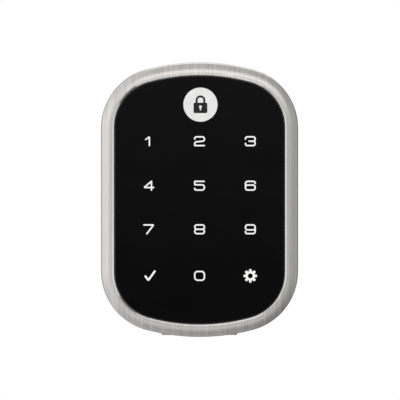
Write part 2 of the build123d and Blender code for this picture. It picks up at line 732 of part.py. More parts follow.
def tamper_plunger():
    """Sprung pin that the door face presses in."""
    collar = rod(PLUNGER_COLLAR, COLLAR_BACK - COLLAR_THICK, COLLAR_BACK, 0, PLUNGER_Z)
    pin = rod(PLUNGER_RADIUS, PLUNGER_START, PLUNGER_TRAVEL, 0, PLUNGER_Z)
    pin = fillet(pin.faces().sort_by(Axis.Y)[-1].edges(), 0.4)
    return pin + collar


def tamper_spring():
    """Return spring of the tamper plunger, round its tail."""
    start = TAMPER_SWITCH_BACK + SLIP
    length = COLLAR_BACK - COLLAR_THICK - SLIP - start
    spring = coil_spring(TAMPER_SPRING_RADIUS, TAMPER_SPRING_WIRE, length, turns=5)
    return Pos(0, start, PLUNGER_Z) * Rot(-90, 0, 0) * spring


# ---- Parts that cross the door ----
def through_bolts():
    """Two machine screws that clamp both units on the door."""
    return group(screw(x, 0, FLOOR_LOW, BOLT_TIP, THROUGH_BOLT_HEAD, THROUGH_BOLT_RADIUS)
                 for x in (-BOLT_X, BOLT_X))


def cable_route():
    """Corners of the door cable's route, from the keypad plug to the control plug."""
    return [Vector(*corner) for corner in (
        (0, BOARD_BACK + PLUG_END, CABLE_OUT_Z), (0, 4, CABLE_OUT_Z), (0.8, 16, -19.4),
        (1.0, 28, -21.9), (0, 38.5, CABLE_IN_Z), (0, CONTROL_LOW - PLUG_END, CABLE_IN_Z))]


def bend_radii(corners):
    """Largest radii that a route's runs leave room for, one for each inner corner."""
    share = 0.45
    radii = []
    for before, corner, after in zip(corners, corners[1:], corners[2:]):
        run_in = corner - before
        run_out = after - corner
        half_turn = radians(run_in.get_angle(run_out)) / 2
        radii.append(share * min(run_in.length, run_out.length) / tan(half_turn))
    return radii


def keypad_cable():
    """Sleeved cable through the door bore, held by a plug at each end."""
    corners = cable_route()
    radii = bend_radii(corners)
    route = FilletPolyline(*corners, radius=radii)
    section = Plane(origin=route @ 0, z_dir=route % 0) * Circle(CABLE_RADIUS)
    cable = sweep(section, path=route)
    print("cable radii", [round(radius, 1) for radius in radii], "length", round(route.length, 1))
    print("cable volume over section times length",
          round(cable.volume / (pi * CABLE_RADIUS ** 2 * route.length), 4))
    return cable


def cable_plugs():
    """Plug at each end of the door cable."""
    return group([cable_plug(BOARD_BACK, 1, CABLE_OUT_Z), cable_plug(CONTROL_LOW, -1, CABLE_IN_Z)])


def drive_blade():
    """Flat tailpiece that turns the latch."""
    return block((-BLADE_THICK / 2, BLADE_THICK / 2), (BLADE_START, BLADE_END),
                 (-BLADE_TALL / 2, BLADE_TALL / 2))


# ---- Inside unit: plate, chassis and drive ----
def inside_mount_plate():
    """Steel plate on the inner door face."""
    plate = slab(outline(MOUNT_PLATE_INSET), MOUNT_PLATE_FACE, FLOOR_LOW)
    plate -= rod(HUB_HOLE_RADIUS, MOUNT_PLATE_FACE, FLOOR_LOW)
    plate -= rod(CABLE_HOLE_RADIUS, MOUNT_PLATE_FACE, FLOOR_LOW, 0, CABLE_IN_Z)
    for x in (-BOLT_X, BOLT_X):
        plate -= rod(THROUGH_BOLT_RADIUS + BORE_PLAY, MOUNT_PLATE_FACE, FLOOR_LOW, x)
    for x, z in CHASSIS_SCREWS:
        plate -= rod(CHASSIS_SCREW_RADIUS + SLIP, MOUNT_PLATE_FACE, FLOOR_LOW, x, z)
    return plate


def inside_chassis():
    """Moulded base with the battery bays, screw posts and the tongues that locate the cover."""
    def inside(inset, shape):
        return shape & slab(outline(inset), CHASSIS_LOW, COVER_TOP)

    base = frame_slab(CHASSIS_INSET, CHASSIS_INNER, CHASSIS_LOW, CHASSIS_RIM)
    base += slab(outline(CHASSIS_INNER - WALL_LAP), FLOOR_LOW, FLOOR_TOP)
    for side in (-1, 1):
        reach = sorted((side * TONGUE_START, side * HALF_HEIGHT))
        cut = block((-HALF_WIDTH, HALF_WIDTH), (FLOOR_LOW, TONGUE_TOP), reach)
        base += frame_slab(CHASSIS_INNER - WALL_LAP, TONGUE_INNER, FLOOR_TOP - ROOT, CHASSIS_RIM) & cut
        base += frame_slab(TONGUE_INSET, TONGUE_INNER, CHASSIS_RIM - ROOT, TONGUE_TOP) & cut
        wall_x = sorted((side * CRADLE_X, side * (CRADLE_X + CRADLE_WALL)))
        wall_z = CONTACT_Z + CONTACT_THICK
        base += block(wall_x, (FLOOR_TOP - ROOT, CRADLE_TOP), (-wall_z, wall_z))
        for end in (-1, 1):
            end_z = sorted((end * wall_z, end * (wall_z + BAY_WALL)))
            bay_x = sorted((side * CRADLE_X, side * HALF_WIDTH))
            base += inside(TONGUE_INSET, block(bay_x, (FLOOR_TOP - ROOT, BAY_TOP), end_z))
    posts = [(x, z, FRAME_LEG_RADIUS, FRAME_LOW) for x, z in FRAME_LEGS]
    posts += [(x, z, CONTROL_BOSS_RADIUS, CONTROL_LOW) for x, z in CONTROL_BOSSES]
    posts += [(x, z, COVER_POST_RADIUS, INNER_COVER_LOW) for x, z in COVER_POSTS]
    for x, z, radius, top in posts:
        base += rod(radius, FLOOR_TOP - ROOT, top, x, z)
        base -= rod(SMALL_SCREW_RADIUS + SLIP, top - SMALL_SCREW_LENGTH + SMALL_BORE_SPARE, top, x, z)
    for x, z in CHASSIS_SCREWS:
        base -= rod(CHASSIS_SCREW_RADIUS + SLIP, FLOOR_LOW, FLOOR_TOP, x, z)
        base -= rod(CHASSIS_SCREW_HEAD[0] + BORE_PLAY, FLOOR_SEAT, FLOOR_TOP, x, z)
    for x in (-BOLT_X, BOLT_X):
        base -= rod(THROUGH_BOLT_HEAD[0] + 3 * BORE_PLAY, FLOOR_LOW, CRADLE_TOP, x)
    half = HALL_POCKET_HALF
    for x, z in HALL_SPOTS:
        base -= block((x - half, x + half), (SENSOR_FLOOR, FLOOR_TOP), (z - half, z + half))
    base -= rod(CABLE_HOLE_RADIUS, FLOOR_LOW, FLOOR_TOP, 0, CABLE_IN_Z)
    return base - rod(BUSHING_RADIUS, FLOOR_LOW, FLOOR_TOP)


def chassis_screws():
    """Four low screws under the cells, into the mount plate."""
    return group(screw(x, z, FLOOR_SEAT, CHASSIS_SCREW_TIP, CHASSIS_SCREW_HEAD, CHASSIS_SCREW_RADIUS)
                 for x, z in CHASSIS_SCREWS)


def hub_bushing():
    """Flanged plain bearing of the hub, pressed in the chassis floor."""
    sleeve = tube(BUSHING_RADIUS, JOURNAL_RADIUS + SLIP, FLOOR_LOW, FLOOR_TOP)
    return sleeve + tube(BUSHING_FLANGE_RADIUS, JOURNAL_RADIUS + SLIP, FLOOR_TOP,
                         FLOOR_TOP + BUSHING_FLANGE)


def seat_section(radius_play=0.0):
    """D-shaped seat of the drive gear."""
    cut = Pos(SEAT_FLAT + radius_play + SEAT_RADIUS, 0) * Rectangle(2 * SEAT_RADIUS, 4 * SEAT_RADIUS)
    return Circle(SEAT_RADIUS + radius_play) - cut


def drive_hub():
    """Hub that joins the blade, the gear and the thumbturn."""
    hub = rod(JOURNAL_RADIUS, HUB_START, GEAR_LOW)
    hub += slab(seat_section(), GEAR_LOW, GEAR_TOP)
    hub += rod(SHAFT_RADIUS, GEAR_TOP, SHAFT_END)
    hub += slab(Rectangle(SQUARE_SIDE, SQUARE_SIDE), SHAFT_END, SQUARE_END)
    hub -= tube(JOURNAL_RADIUS + 1, CLIP_GROOVE, CLIP_LOW, CLIP_TOP)
    half_x = (BLADE_THICK + BLADE_PLAY) / 2
    half_z = (BLADE_TALL + BLADE_PLAY) / 2
    return hub - block((-half_x, half_x), (HUB_START, BLADE_END + BORE_SPARE), (-half_z, half_z))


def hub_clip():
    """Spring clip that keeps the hub in its bushing."""
    ring = Circle(CLIP_RADIUS) - Circle(CLIP_GROOVE)
    return slab(ring - Pos(0, CLIP_RADIUS) * Rectangle(5, CLIP_RADIUS), CLIP_LOW, CLIP_TOP)


def gear_outline(teeth, turn):
    """Involute spur gear outline, its first tooth at turn degrees from +X."""
    pitch = GEAR_MODULE * teeth / 2
    base = pitch * cos(PRESSURE_ANGLE)
    root = pitch - DEDENDUM * GEAR_MODULE
    tip = pitch + ADDENDUM * GEAR_MODULE
    start = max(base, root)
    radii = [root] if root < base else []
    radii += [start + (tip - start) * step / FLANK_STEPS for step in range(FLANK_STEPS + 1)]

    def half_angle(radius):
        slope = acos(min(1.0, base / radius))
        flank = tan(PRESSURE_ANGLE) - PRESSURE_ANGLE - (tan(slope) - slope)
        return (pi * GEAR_MODULE / 2 - TOOTH_THINNING) / 2 / pitch + flank

    points = []
    for tooth in range(teeth):
        middle = radians(turn) + 2 * pi * tooth / teeth
        rising = [(radius, middle - half_angle(radius)) for radius in radii]
        falling = [(radius, middle + half_angle(radius)) for radius in reversed(radii)]
        points += [(radius * cos(angle), radius * sin(angle)) for radius, angle in rising + falling]
    return make_face(Polyline(*points, close=True))


def drive_gear():
    """Large gear on the hub, with a pocket for the position magnet."""
    gear = slab(gear_outline(GEAR_TEETH, 90) - seat_section(SLIP), GEAR_LOW, GEAR_TOP)
    web_outer, web_inner, web_depth = GEAR_WEB
    gear -= tube(web_outer, web_inner, GEAR_TOP - web_depth, GEAR_TOP)
    return gear - rod(MAGNET_PIN[0] + SLIP, GEAR_LOW, GEAR_LOW + MAGNET_PIN[1], 0, -SENSE_RADIUS)


def position_magnet():
    """Magnet in the gear that the hall sensors read."""
    radius, length = MAGNET_PIN
    return rod(radius, GEAR_LOW, GEAR_LOW + length, 0, -SENSE_RADIUS)


def hall_sensors():
    """Two sensors in the chassis floor, for the locked and the open position."""
    half = HALL_HALF
    return group(block((x - half, x + half), (SENSOR_FLOOR, SENSOR_FLOOR + 0.9),
                       (z - half, z + half)) for x, z in HALL_SPOTS)


def motor_pinion():
    """Pinion on the gearmotor shaft, meshing below it with the drive gear."""
    half_tooth = 180 / PINION_TEETH
    profile = gear_outline(PINION_TEETH, 90 + half_tooth) - Circle(MOTOR_SHAFT_RADIUS)
    return Pos(0, 0, PINION_Z) * slab(profile, GEAR_LOW, GEAR_TOP)


def motor_shaft():
    """Output shaft of the gearmotor."""
    return rod(MOTOR_SHAFT_RADIUS, GEAR_LOW - 0.3, FRAME_TOP, 0, PINION_Z)


def mechanism_frame():
    """Steel plate that carries the gearmotor and the upper end of the hub."""
    corner = 3.0
    low, high = FRAME_Z
    sheet = Pos(0, (low + high) / 2) * RectangleRounded(2 * FRAME_HALF_X, high - low, corner)
    plate = slab(sheet, FRAME_LOW, FRAME_TOP)
    plate -= rod(SHAFT_RADIUS + SLIP, FRAME_LOW, FRAME_TOP)
    plate -= rod(MOTOR_SHAFT_RADIUS + SHAFT_HOLE_PLAY, FRAME_LOW, FRAME_TOP, 0, PINION_Z)
    for x, z in FRAME_LEGS:
        plate -= rod(SMALL_SCREW_RADIUS + SLIP, FRAME_LOW, FRAME_TOP, x, z)
    return plate


def small_screws():
    """Twelve equal screws: four each of the mechanism frame, control board and inner cover."""
    seats = [(x, z, FRAME_TOP) for x, z in FRAME_LEGS]
    seats += [(x, z, CONTROL_TOP) for x, z in CONTROL_BOSSES]
    seats += [(x, z, INNER_COVER_TOP) for x, z in COVER_POSTS]
    return group(screw(x, z, face, face - SMALL_SCREW_LENGTH, SMALL_SCREW_HEAD, SMALL_SCREW_RADIUS)
                 for x, z, face in seats)


def motor_gearbox():
    """Brass gear train between its end plates."""
    plate_thick = 0.8
    waist = 1.5
    heights = (PINION_Z - MOTOR_HALF_Z, PINION_Z + MOTOR_HALF_Z)
    between = (FRAME_TOP + plate_thick, GEARBOX_TOP - plate_thick)
    gearbox = block((-MOTOR_HALF_X, MOTOR_HALF_X), (FRAME_TOP, GEARBOX_TOP), heights)
    for side in (-1, 1):
        cut = sorted((side * MOTOR_HALF_X, side * (MOTOR_HALF_X - waist)))
        gearbox -= block(cut, between, heights)
    return gearbox


def motor_can():
    """Flat-sided motor can with its rear terminals."""
    body = Circle(MOTOR_HALF_X) & Rectangle(2 * MOTOR_HALF_X, 2 * MOTOR_HALF_Z)
    end = (MOTOR_TOP - 0.6, MOTOR_TOP)
    bearing_radius = 2.0
    tab_x = 3.8
    tab_half = (0.9, 0.3)
    can = Pos(0, 0, PINION_Z) * slab(body, GEARBOX_TOP, end[0])
    can += rod(bearing_radius, *end, 0, PINION_Z)
    for x in (-tab_x, tab_x):
        can += block((x - tab_half[0], x + tab_half[0]), end,
                     (PINION_Z - tab_half[1], PINION_Z + tab_half[1]))
    return can


def thumbturn():
    """Turn knob: boss on the hub, round skirt and a tapered grip."""
    disc = rod(TURN_DISC_RADIUS, TURN_DISC_LOW, TURN_DISC_TOP)
    disc = fillet(disc.faces().sort_by(Axis.Y)[-1].edges(), 1.0)
    knob = disc + rod(TURN_BOSS_RADIUS, SHAFT_END + BORE_PLAY, TURN_DISC_LOW)
    foot = Rot(0, 0, 90) * SlotOverall(TURN_GRIP_LENGTH, TURN_GRIP_THICK)
    crest_size = (TURN_GRIP_LENGTH - TURN_GRIP_TAPER, TURN_GRIP_THICK - TURN_GRIP_TAPER)
    crest = Rot(0, 0, 90) * SlotOverall(*crest_size)
    start = Plane(origin=(0, TURN_DISC_TOP - 0.5, 0), x_dir=(1, 0, 0), z_dir=(0, -1, 0))
    finish = Plane(origin=(0, TURN_TOP, 0), x_dir=(1, 0, 0), z_dir=(0, -1, 0))
    grip = loft([(start * foot).face(), (finish * crest).face()])
    grip = fillet(grip.faces().sort_by(Axis.Y)[-1].edges(), 1.8)
    knob += grip
    socket = Rectangle(SQUARE_SIDE + 2 * SLIP, SQUARE_SIDE + 2 * SLIP)
    knob -= slab(socket, SHAFT_END, SQUARE_END + BORE_SPARE)
    bore = Pos(TURN_BOSS_RADIUS / 2 + 1, GRUB_Y, 0) * Rot(0, 90, 0)
    return knob - bore * Cylinder(GRUB_RADIUS + SLIP, TURN_BOSS_RADIUS)


def thumbturn_screw():
    """Grub screw that holds the knob on the square."""
    start = SQUARE_SIDE / 2 + SLIP
    end = TURN_BOSS_RADIUS - 0.4
    place = Pos((start + end) / 2, GRUB_Y, 0) * Rot(0, 90, 0)
    grub = place * Cylinder(GRUB_RADIUS, end - start)
    return grub - Pos(end, GRUB_Y, 0) * Rot(0, 90, 0) * extrude(RegularPolygon(0.7, 6), 1.2, both=True)


# ---- Inside unit: batteries ----
def cell_seats():
    """Each cell's place: its X, its depth and which way its nub points along Z."""
    for x in (-CELL_X, CELL_X):
        for layer, y in enumerate(CELL_LAYERS):
            yield x, y, (1 if (layer == 0) == (x < 0) else -1)


def battery_cells():
    """Four AA cells with their nubs."""
    cells = []
    for x, y, side in cell_seats():
        top = CONTACT_Z - CELL_NUB
        body = Cylinder(CELL_RADIUS, CELL_BODY)
        body = fillet(body.edges(), 0.6)
        nub = Cylinder(CELL_NUB_RADIUS, CELL_NUB)
        cell = Pos(0, 0, top - CELL_BODY / 2) * body + Pos(0, 0, top + CELL_NUB / 2) * nub
        cells.append(Pos(x, y, 0) * Rot(0 if side > 0 else 180, 0, 0) * cell)
    return group(cells)


def battery_springs():
    """Contact spring at the flat end of each cell."""
    wire_radius = 0.35
    gap = 2 * CONTACT_Z - CELL_BODY - CELL_NUB
    springs = []
    for x, y, side in cell_seats():
        spring = Pos(0, 0, -CONTACT_Z + SLIP) * coil_spring(3.0, wire_radius, gap - 2 * SLIP, 3)
        springs.append(Pos(x, y, 0) * Rot(0 if side > 0 else 180, 0, 0) * spring)
    return group(springs)


def battery_contacts():
    """Nickel plates at the ends of both bays."""
    half = 6.3
    plates = []
    for x in (-CELL_X, CELL_X):
        for side in (-1, 1):
            reach = sorted((side * CONTACT_Z, side * (CONTACT_Z + CONTACT_THICK)))
            rows = (CELL_LAYERS[0] - half, CELL_LAYERS[1] + 5)
            plates.append(block((x - half, x + half), rows, reach))
    return group(plates)


# ---- Inside unit: electronics, button and covers ----
def control_board():
    """Main circuit board."""
    low, high = CONTROL_Z
    sheet = Pos(0, (low + high) / 2) * RectangleRounded(2 * CONTROL_HALF_X, high - low, 2)
    board = slab(sheet, CONTROL_LOW, CONTROL_TOP)
    for x, z in CONTROL_BOSSES:
        board -= rod(SMALL_SCREW_RADIUS + SLIP, CONTROL_LOW, CONTROL_TOP, x, z)
    return board


def control_board_chips():
    """Processor, motor driver and power parts: x, z, width, height and thickness of each."""
    packages = ((-9.3, -28.5, 5.5, 5.5, 1.0), (8.7, -27.5, 4.6, 4, 1.1), (-9.5, -14.5, 4, 3, 2.4),
                (9.5, -14.5, 3, 3, 1.2), (0, -29, 2, 1.2, 0.8), (5.5, -34, 1.6, 0.8, 0.7))
    return group(block((x - wide / 2, x + wide / 2), (CONTROL_TOP, CONTROL_TOP + high),
                       (z - tall / 2, z + tall / 2)) for x, z, wide, tall, high in packages)


def wireless_module():
    """Shielded radio module with its antenna strip."""
    carrier_top = CONTROL_TOP + 0.8
    shield_top = CONTROL_TOP + 2.6
    carrier = block((-6, 6), (CONTROL_TOP, carrier_top), (-25, -13))
    shield = block((-5.2, 5.2), (carrier_top, shield_top), (-24.2, -16.2))
    return carrier + fillet(shield.faces().sort_by(Axis.Y)[-1].edges(), 0.3)


def control_socket():
    """Open connector for the door cable on the door side of the board."""
    return cable_socket(CONTROL_LOW, -1, CABLE_IN_Z)


def button_switch():
    """Push switch below the privacy button."""
    half = 3.0
    case_top = CONTROL_TOP + 2.3
    tip_radius = 1.6
    body = block((-half, half), (CONTROL_TOP, case_top), (BUTTON_Z - half, BUTTON_Z + half))
    return body + rod(tip_radius, case_top, BUTTON_SWITCH_TOP, 0, BUTTON_Z)


def privacy_button():
    """Round push button on its stem."""
    cap = rod(BUTTON_CAP_RADIUS, BUTTON_CAP_LOW, BUTTON_TOP, 0, BUTTON_Z)
    cap = fillet(cap.faces().sort_by(Axis.Y)[-1].edges(), 0.7)
    return cap + rod(BUTTON_STEM_RADIUS, BUTTON_STEM_END, BUTTON_CAP_LOW, 0, BUTTON_Z)


def inner_cover():
    """Plate over the mechanism, between the battery bays."""
    strip = outline(INNER_COVER_INSET) & Rectangle(2 * INNER_COVER_HALF_X, 2 * HALF_HEIGHT)
    plate = slab(strip, INNER_COVER_LOW, INNER_COVER_TOP)
    motor_play = 0.5
    plate -= rod(TURN_BOSS_RADIUS + motor_play, INNER_COVER_LOW, INNER_COVER_TOP)
    plate -= rod(BUTTON_STEM_RADIUS + 2 * SLIP, INNER_COVER_LOW, INNER_COVER_TOP, 0, BUTTON_Z)
    plate -= block((-MOTOR_HALF_X - motor_play, MOTOR_HALF_X + motor_play),
                   (INNER_COVER_LOW, INNER_COVER_TOP),
                   (PINION_Z - MOTOR_HALF_Z - motor_play, PINION_Z + MOTOR_HALF_Z + motor_play))
    for x, z in COVER_POSTS:
        plate -= rod(SMALL_SCREW_RADIUS + SLIP, INNER_COVER_LOW, INNER_COVER_TOP, x, z)
    return plate


def cover_magnets():
    """Magnets that hold the battery cover."""
    return group(rod(MAGNET_RADIUS, INNER_COVER_TOP, KEEPER_LOW, x, z) for x, z in MAGNET_SPOTS)


def cover_keepers():
    """Steel discs in the battery cover, opposite the magnets."""
    return group(rod(MAGNET_RADIUS, KEEPER_LOW, COVER_ROOF, x, z) for x, z in MAGNET_SPOTS)


def battery_cover():
    """Lift-off shell of the inside unit, with holes for the knob and the button."""
    outer = slab(outline(COVER_INSET), COVER_LOW, COVER_TOP)
    outer = fillet(outer.faces().sort_by(Axis.Y)[-1].edges(), COVER_ROUND)
    inner = slab(outline(COVER_INNER), COVER_LOW, COVER_ROOF)
    inner = fillet(inner.faces().sort_by(Axis.Y)[-1].edges(), COVER_ROUND - 1.8)
    shell = outer - inner
    shell -= rod(TURN_HOLE_RADIUS, COVER_ROOF, COVER_TOP)
    return shell - rod(BUTTON_CAP_RADIUS + BOARD_GAP, COVER_ROOF, COVER_TOP, 0, BUTTON_Z)


SUB_PARTS = (
    front_housing, touch_glass, glass_adhesive, number_legends, icon_legends, status_disc,
    status_symbol, touch_sensor_sheet, light_guide, key_leds, keypad_board, keypad_board_chips,
    keypad_board_screws, buzzer, keypad_cable_socket, terminal_block, backup_terminals,
    outside_back_plate, back_plate_screws, housing_seal, cable_grommet, door_gasket,
    mounting_posts, tamper_switch, tamper_plunger, tamper_spring, through_bolts, keypad_cable,
    cable_plugs, drive_blade, inside_mount_plate, inside_chassis, chassis_screws, hub_bushing,
    drive_hub, hub_clip, drive_gear, position_magnet, hall_sensors, motor_pinion, motor_shaft,
    mechanism_frame, small_screws, motor_gearbox, motor_can, thumbturn, thumbturn_screw,
    battery_cells, battery_springs, battery_contacts, control_board, control_board_chips,
    wireless_module, control_socket, button_switch, privacy_button,
    inner_cover, cover_magnets, cover_keepers, battery_cover,
)

for make in SUB_PARTS:
    export_step(make(), f"parts/{make.__name__}.step")
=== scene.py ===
import json
from math import cos, pi, radians, sin, tau

import bmesh
import bpy
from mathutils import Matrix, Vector


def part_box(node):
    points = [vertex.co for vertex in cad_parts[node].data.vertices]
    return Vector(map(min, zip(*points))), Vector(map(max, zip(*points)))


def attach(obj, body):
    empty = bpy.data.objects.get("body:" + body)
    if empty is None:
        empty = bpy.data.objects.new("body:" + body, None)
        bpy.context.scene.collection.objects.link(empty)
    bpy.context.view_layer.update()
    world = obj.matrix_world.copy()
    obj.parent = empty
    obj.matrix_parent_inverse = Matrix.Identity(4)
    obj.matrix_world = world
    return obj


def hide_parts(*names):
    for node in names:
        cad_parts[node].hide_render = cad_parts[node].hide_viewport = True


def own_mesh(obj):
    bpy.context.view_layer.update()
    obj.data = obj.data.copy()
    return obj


# Keypad smart lock. Metres, in the CAD frame: +X right seen from outside, +Z up, +Y into the door.
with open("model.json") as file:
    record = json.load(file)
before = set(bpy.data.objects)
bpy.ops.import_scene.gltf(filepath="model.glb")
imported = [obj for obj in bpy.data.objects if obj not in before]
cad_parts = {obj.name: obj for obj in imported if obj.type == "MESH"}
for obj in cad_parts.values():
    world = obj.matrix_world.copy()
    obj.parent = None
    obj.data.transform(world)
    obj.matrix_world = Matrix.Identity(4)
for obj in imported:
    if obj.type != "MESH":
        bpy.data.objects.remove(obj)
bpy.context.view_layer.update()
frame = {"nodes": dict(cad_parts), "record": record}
scene = bpy.context.scene
MM = 0.001

# ---- Camera and view ----
CAMERA_DISTANCE = 2.0
CAMERA_ELEVATION = radians(0.2)
FRAME_WIDTH = 134.1 * MM          # what the picture spans at the object
AIM = Vector((0.15 * MM, -20 * MM, -0.05 * MM))
SENSOR = 36.0                     # millimetres, as Blender gives it
FAR_CLIP = 40.0

# ---- Studio ----
LIGHTS = (                        # name, direction from the lock, distance, size, power
    ("key", (-1.0, -1.2, 0.2), 2.2, (0.9, 1.0), 1.5),
    ("back_fill", (0.1, 0.9, 1.2), 2.4, (1.6, 1.2), 18),
    ("card_above", (0.08, -0.6, 0.26), 0.66, (0.5, 0.2), 0.41),
    ("card_below", (0.0, -0.6, -0.28), 0.66, (0.4, 0.2), 0.09),
    ("strip_above", (0.0, -0.2, 1.0), 1.1, (1.3, 0.2), 0.5),
    ("strip_below", (0.0, -0.2, -1.0), 1.1, (1.3, 0.2), 0.65),
    ("strip_right", (1.0, -0.2, 0.0), 1.3, (0.2, 1.4), 0.75),
)
SURROUND = 0.84                   # brightness straight in front, and how it changes from there
SURROUND_RIGHT = -0.38            # towards the right, and the other way towards the left
SURROUND_BELOW = 0.5
SURROUND_ABOVE = -0.22
SURROUND_BEHIND = -1.0
SURROUND_BEHIND_POWER = 5.0       # how close to straight behind the dark stays
SURROUND_LEAST = 0.05
SURROUND_SEEN = 1.0               # the plain white that the camera sees
FLOOR_DROP = 1.2
FLOOR_RADIUS = 12.0
FLOOR_GLOW = 0.3
FLAG_SIZE = (0.3, 0.36)
FLAG_PLACE = (0, -1.2, 0.03)
FLAG_GLOW = 0.12                  # at its top, fading to none at its bottom
FLAG_FADE = 0.25                  # of its height, each way from its middle

# ---- Metals ----
NICKEL = (0.60, 0.585, 0.56)
STEEL = (0.56, 0.56, 0.55)
SCREW = (0.66, 0.66, 0.65)
BRASS = (0.76, 0.56, 0.25)
POLISHED = 0.16                   # roughness of a polished edge
POLISH_START = -8 * MM            # how far inwards a slope faces where the polish starts
POLISH_FULL = -14 * MM

# ---- Cells: heights towards the nub from the lock's middle ----
CELL_BAND_START = 12.5 * MM
CELL_SLEEVE_MIDDLE = 1.4 * MM
CELL_SLEEVE_SHORT = 3.5 * MM      # half the sleeve is this much less than half the cells' height

# ---- Through bolts ----
THREAD_PITCH = 0.7 * MM
THREAD_DEPTH = 0.40 * MM
THREAD_TAPER = 1.2 * MM           # where it starts at the tip and runs out at the neck
THREAD_ROWS = 8                   # rings of points in each turn
BOLT_SIDES = 32
BOLT_NECK = 5 * MM
BOLT_SHANK_RADIUS = 2.1 * MM
BOLT_SHOULDER = 0.2 * MM          # from the end of the thread to the full shank
BOLT_SEAT_EDGE = 0.15 * MM
BOLT_CROWN = 0.5 * MM
CROWN_BACK = 0.4                  # of the crown: how far its middle ring sits back
CROWN_IN = 0.3                    # and how far in
SOCKET_SHARE = 0.42               # of the head's radius
SOCKET_RIM = 1.06                 # of the socket's own radius
SOCKET_RIM_DEPTH = 0.12 * MM
SOCKET_DEPTH = 1.3 * MM

# ---- Keypad cable ----
CABLE_ROUTE = ((0, -7.9, -17), (0, 4, -17), (0.8, 16, -19.4), (1.0, 28, -21.9), (0, 38.5, -22),
               (0, 49.5, -22))    # millimetres, the route's corners in the CAD
CABLE_STEP = 0.4 * MM
CORE_RADIUS = 1.42 * MM
CORE_SIDES = 20
BRAID_RADIUS = 1.5 * MM
BRAID_CARRIERS = 10
BRAID_LAY = 11 * MM
BRAID_LIFT = 0.09 * MM            # how far a strand goes over and under the others
STRAND_HALF_WIDE = 0.3 * MM
STRAND_HALF_THICK = 0.09 * MM
STRAND_TOP_SHARE = 0.6            # flat top of a strand, as a share of its width

# ---- Tamper spring ----
SPRING_WIRE = 0.2 * MM
SPRING_TURNS = 5
SPRING_STEPS = 28                 # in each turn
SPRING_SIDES = 10


# ---- Node helpers ----
def material_tree(name, colour, roughness, metallic=0.0, **sockets):
    """New Principled material. Socket values that don't vary are set on the shader itself."""
    material = bpy.data.materials.new(name)
    material.use_nodes = True
    tree = material.node_tree
    shader = tree.nodes["Principled BSDF"]
    shader.inputs["Base Color"].default_value = (*colour, 1.0)
    shader.inputs["Roughness"].default_value = roughness
    shader.inputs["Metallic"].default_value = metallic
    for socket, value in sockets.items():
        shader.inputs[socket.replace("_", " ")].default_value = value
    return material, tree, shader


def place(tree, stretch):
    """Object coordinates, stretched to (x, y, z) repeats for each metre."""
    coordinates = tree.nodes.new("ShaderNodeTexCoord")
    mapping = tree.nodes.new("ShaderNodeMapping")
    mapping.inputs["Scale"].default_value = stretch
    tree.links.new(coordinates.outputs["Object"], mapping.inputs["Vector"])
    return mapping.outputs["Vector"]


def noise(tree, stretch, detail=3.0, roughness=0.55):
    """Noise between about 0.3 and 0.7, at the given repeats for each metre."""
    texture = tree.nodes.new("ShaderNodeTexNoise")
    texture.inputs["Scale"].default_value = 1.0
    texture.inputs["Detail"].default_value = detail
    texture.inputs["Roughness"].default_value = roughness
    tree.links.new(place(tree, stretch), texture.inputs["Vector"])
    return texture.outputs["Fac"]


def spread(tree, value, low, high, start=0.3, stop=0.7):
    """Value from start to stop, spread over low to high."""
    node = tree.nodes.new("ShaderNodeMapRange")
    node.inputs["From Min"].default_value = start
    node.inputs["From Max"].default_value = stop
    node.inputs["To Min"].default_value = low
    node.inputs["To Max"].default_value = high
    tree.links.new(value, node.inputs["Value"])
    return node.outputs["Result"]


def ramp(tree, value, stops):
    """Colours along a value, given as (place, (r, g, b))."""
    node = tree.nodes.new("ShaderNodeValToRGB")
    elements = node.color_ramp.elements
    while len(elements) < len(stops):
        elements.new(0.5)
    for element, (position, colour) in zip(elements, stops):
        element.position = position
        element.color = (*colour, 1.0)
    tree.links.new(value, node.inputs["Fac"])
    return node.outputs["Color"]


def shade(colour, factor):
    """A colour made lighter or darker."""
    return tuple(min(1.0, part * factor) for part in colour)


def math_node(tree, operation, first, second=0.0):
    """Result of a math node on one or two values or sockets."""
    node = tree.nodes.new("ShaderNodeMath")
    node.operation = operation
    for index, value in enumerate((first, second)):
        if isinstance(value, (int, float)):
            node.inputs[index].default_value = value
        else:
            tree.links.new(value, node.inputs[index])
    return node.outputs["Value"]


def add_bump(tree, shader, height, depth):
    """Surface relief from a height value, depth in metres."""
    node = tree.nodes.new("ShaderNodeBump")
    node.inputs["Strength"].default_value = 1.0
    node.inputs["Distance"].default_value = depth
    tree.links.new(height, node.inputs["Height"])
    tree.links.new(node.outputs["Normal"], shader.inputs["Normal"])


def weighted(tree, first, first_share, second):
    """Sum of two values, weighted by the first's share and the rest."""
    return math_node(tree, "ADD", math_node(tree, "MULTIPLY", first, first_share),
                     math_node(tree, "MULTIPLY", second, 1.0 - first_share))


def blend(tree, factor, first, second):
    """First value where the factor is 0, second where it is 1."""
    step = math_node(tree, "MULTIPLY", math_node(tree, "SUBTRACT", second, first), factor)
    return math_node(tree, "ADD", first, step)


def parts_of(tree, output):
    """X, Y and Z of one of the texture coordinates."""
    coordinates = tree.nodes.new("ShaderNodeTexCoord")
    node = tree.nodes.new("ShaderNodeSeparateXYZ")
    tree.links.new(coordinates.outputs[output], node.inputs["Vector"])
    return node.outputs


def mix_colours(tree, factor, first, second):
    """First colour where the factor is 0, second where it is 1. Either is a colour or a socket."""
    node = tree.nodes.new("ShaderNodeMix")
    node.data_type = "RGBA"
    tree.links.new(factor, node.inputs["Factor"])
    for name, colour in (("A", first), ("B", second)):
        if isinstance(colour, tuple):
            node.inputs[name].default_value = (*colour, 1.0)
        else:
            tree.links.new(colour, node.inputs[name])
    return node.outputs["Result"]


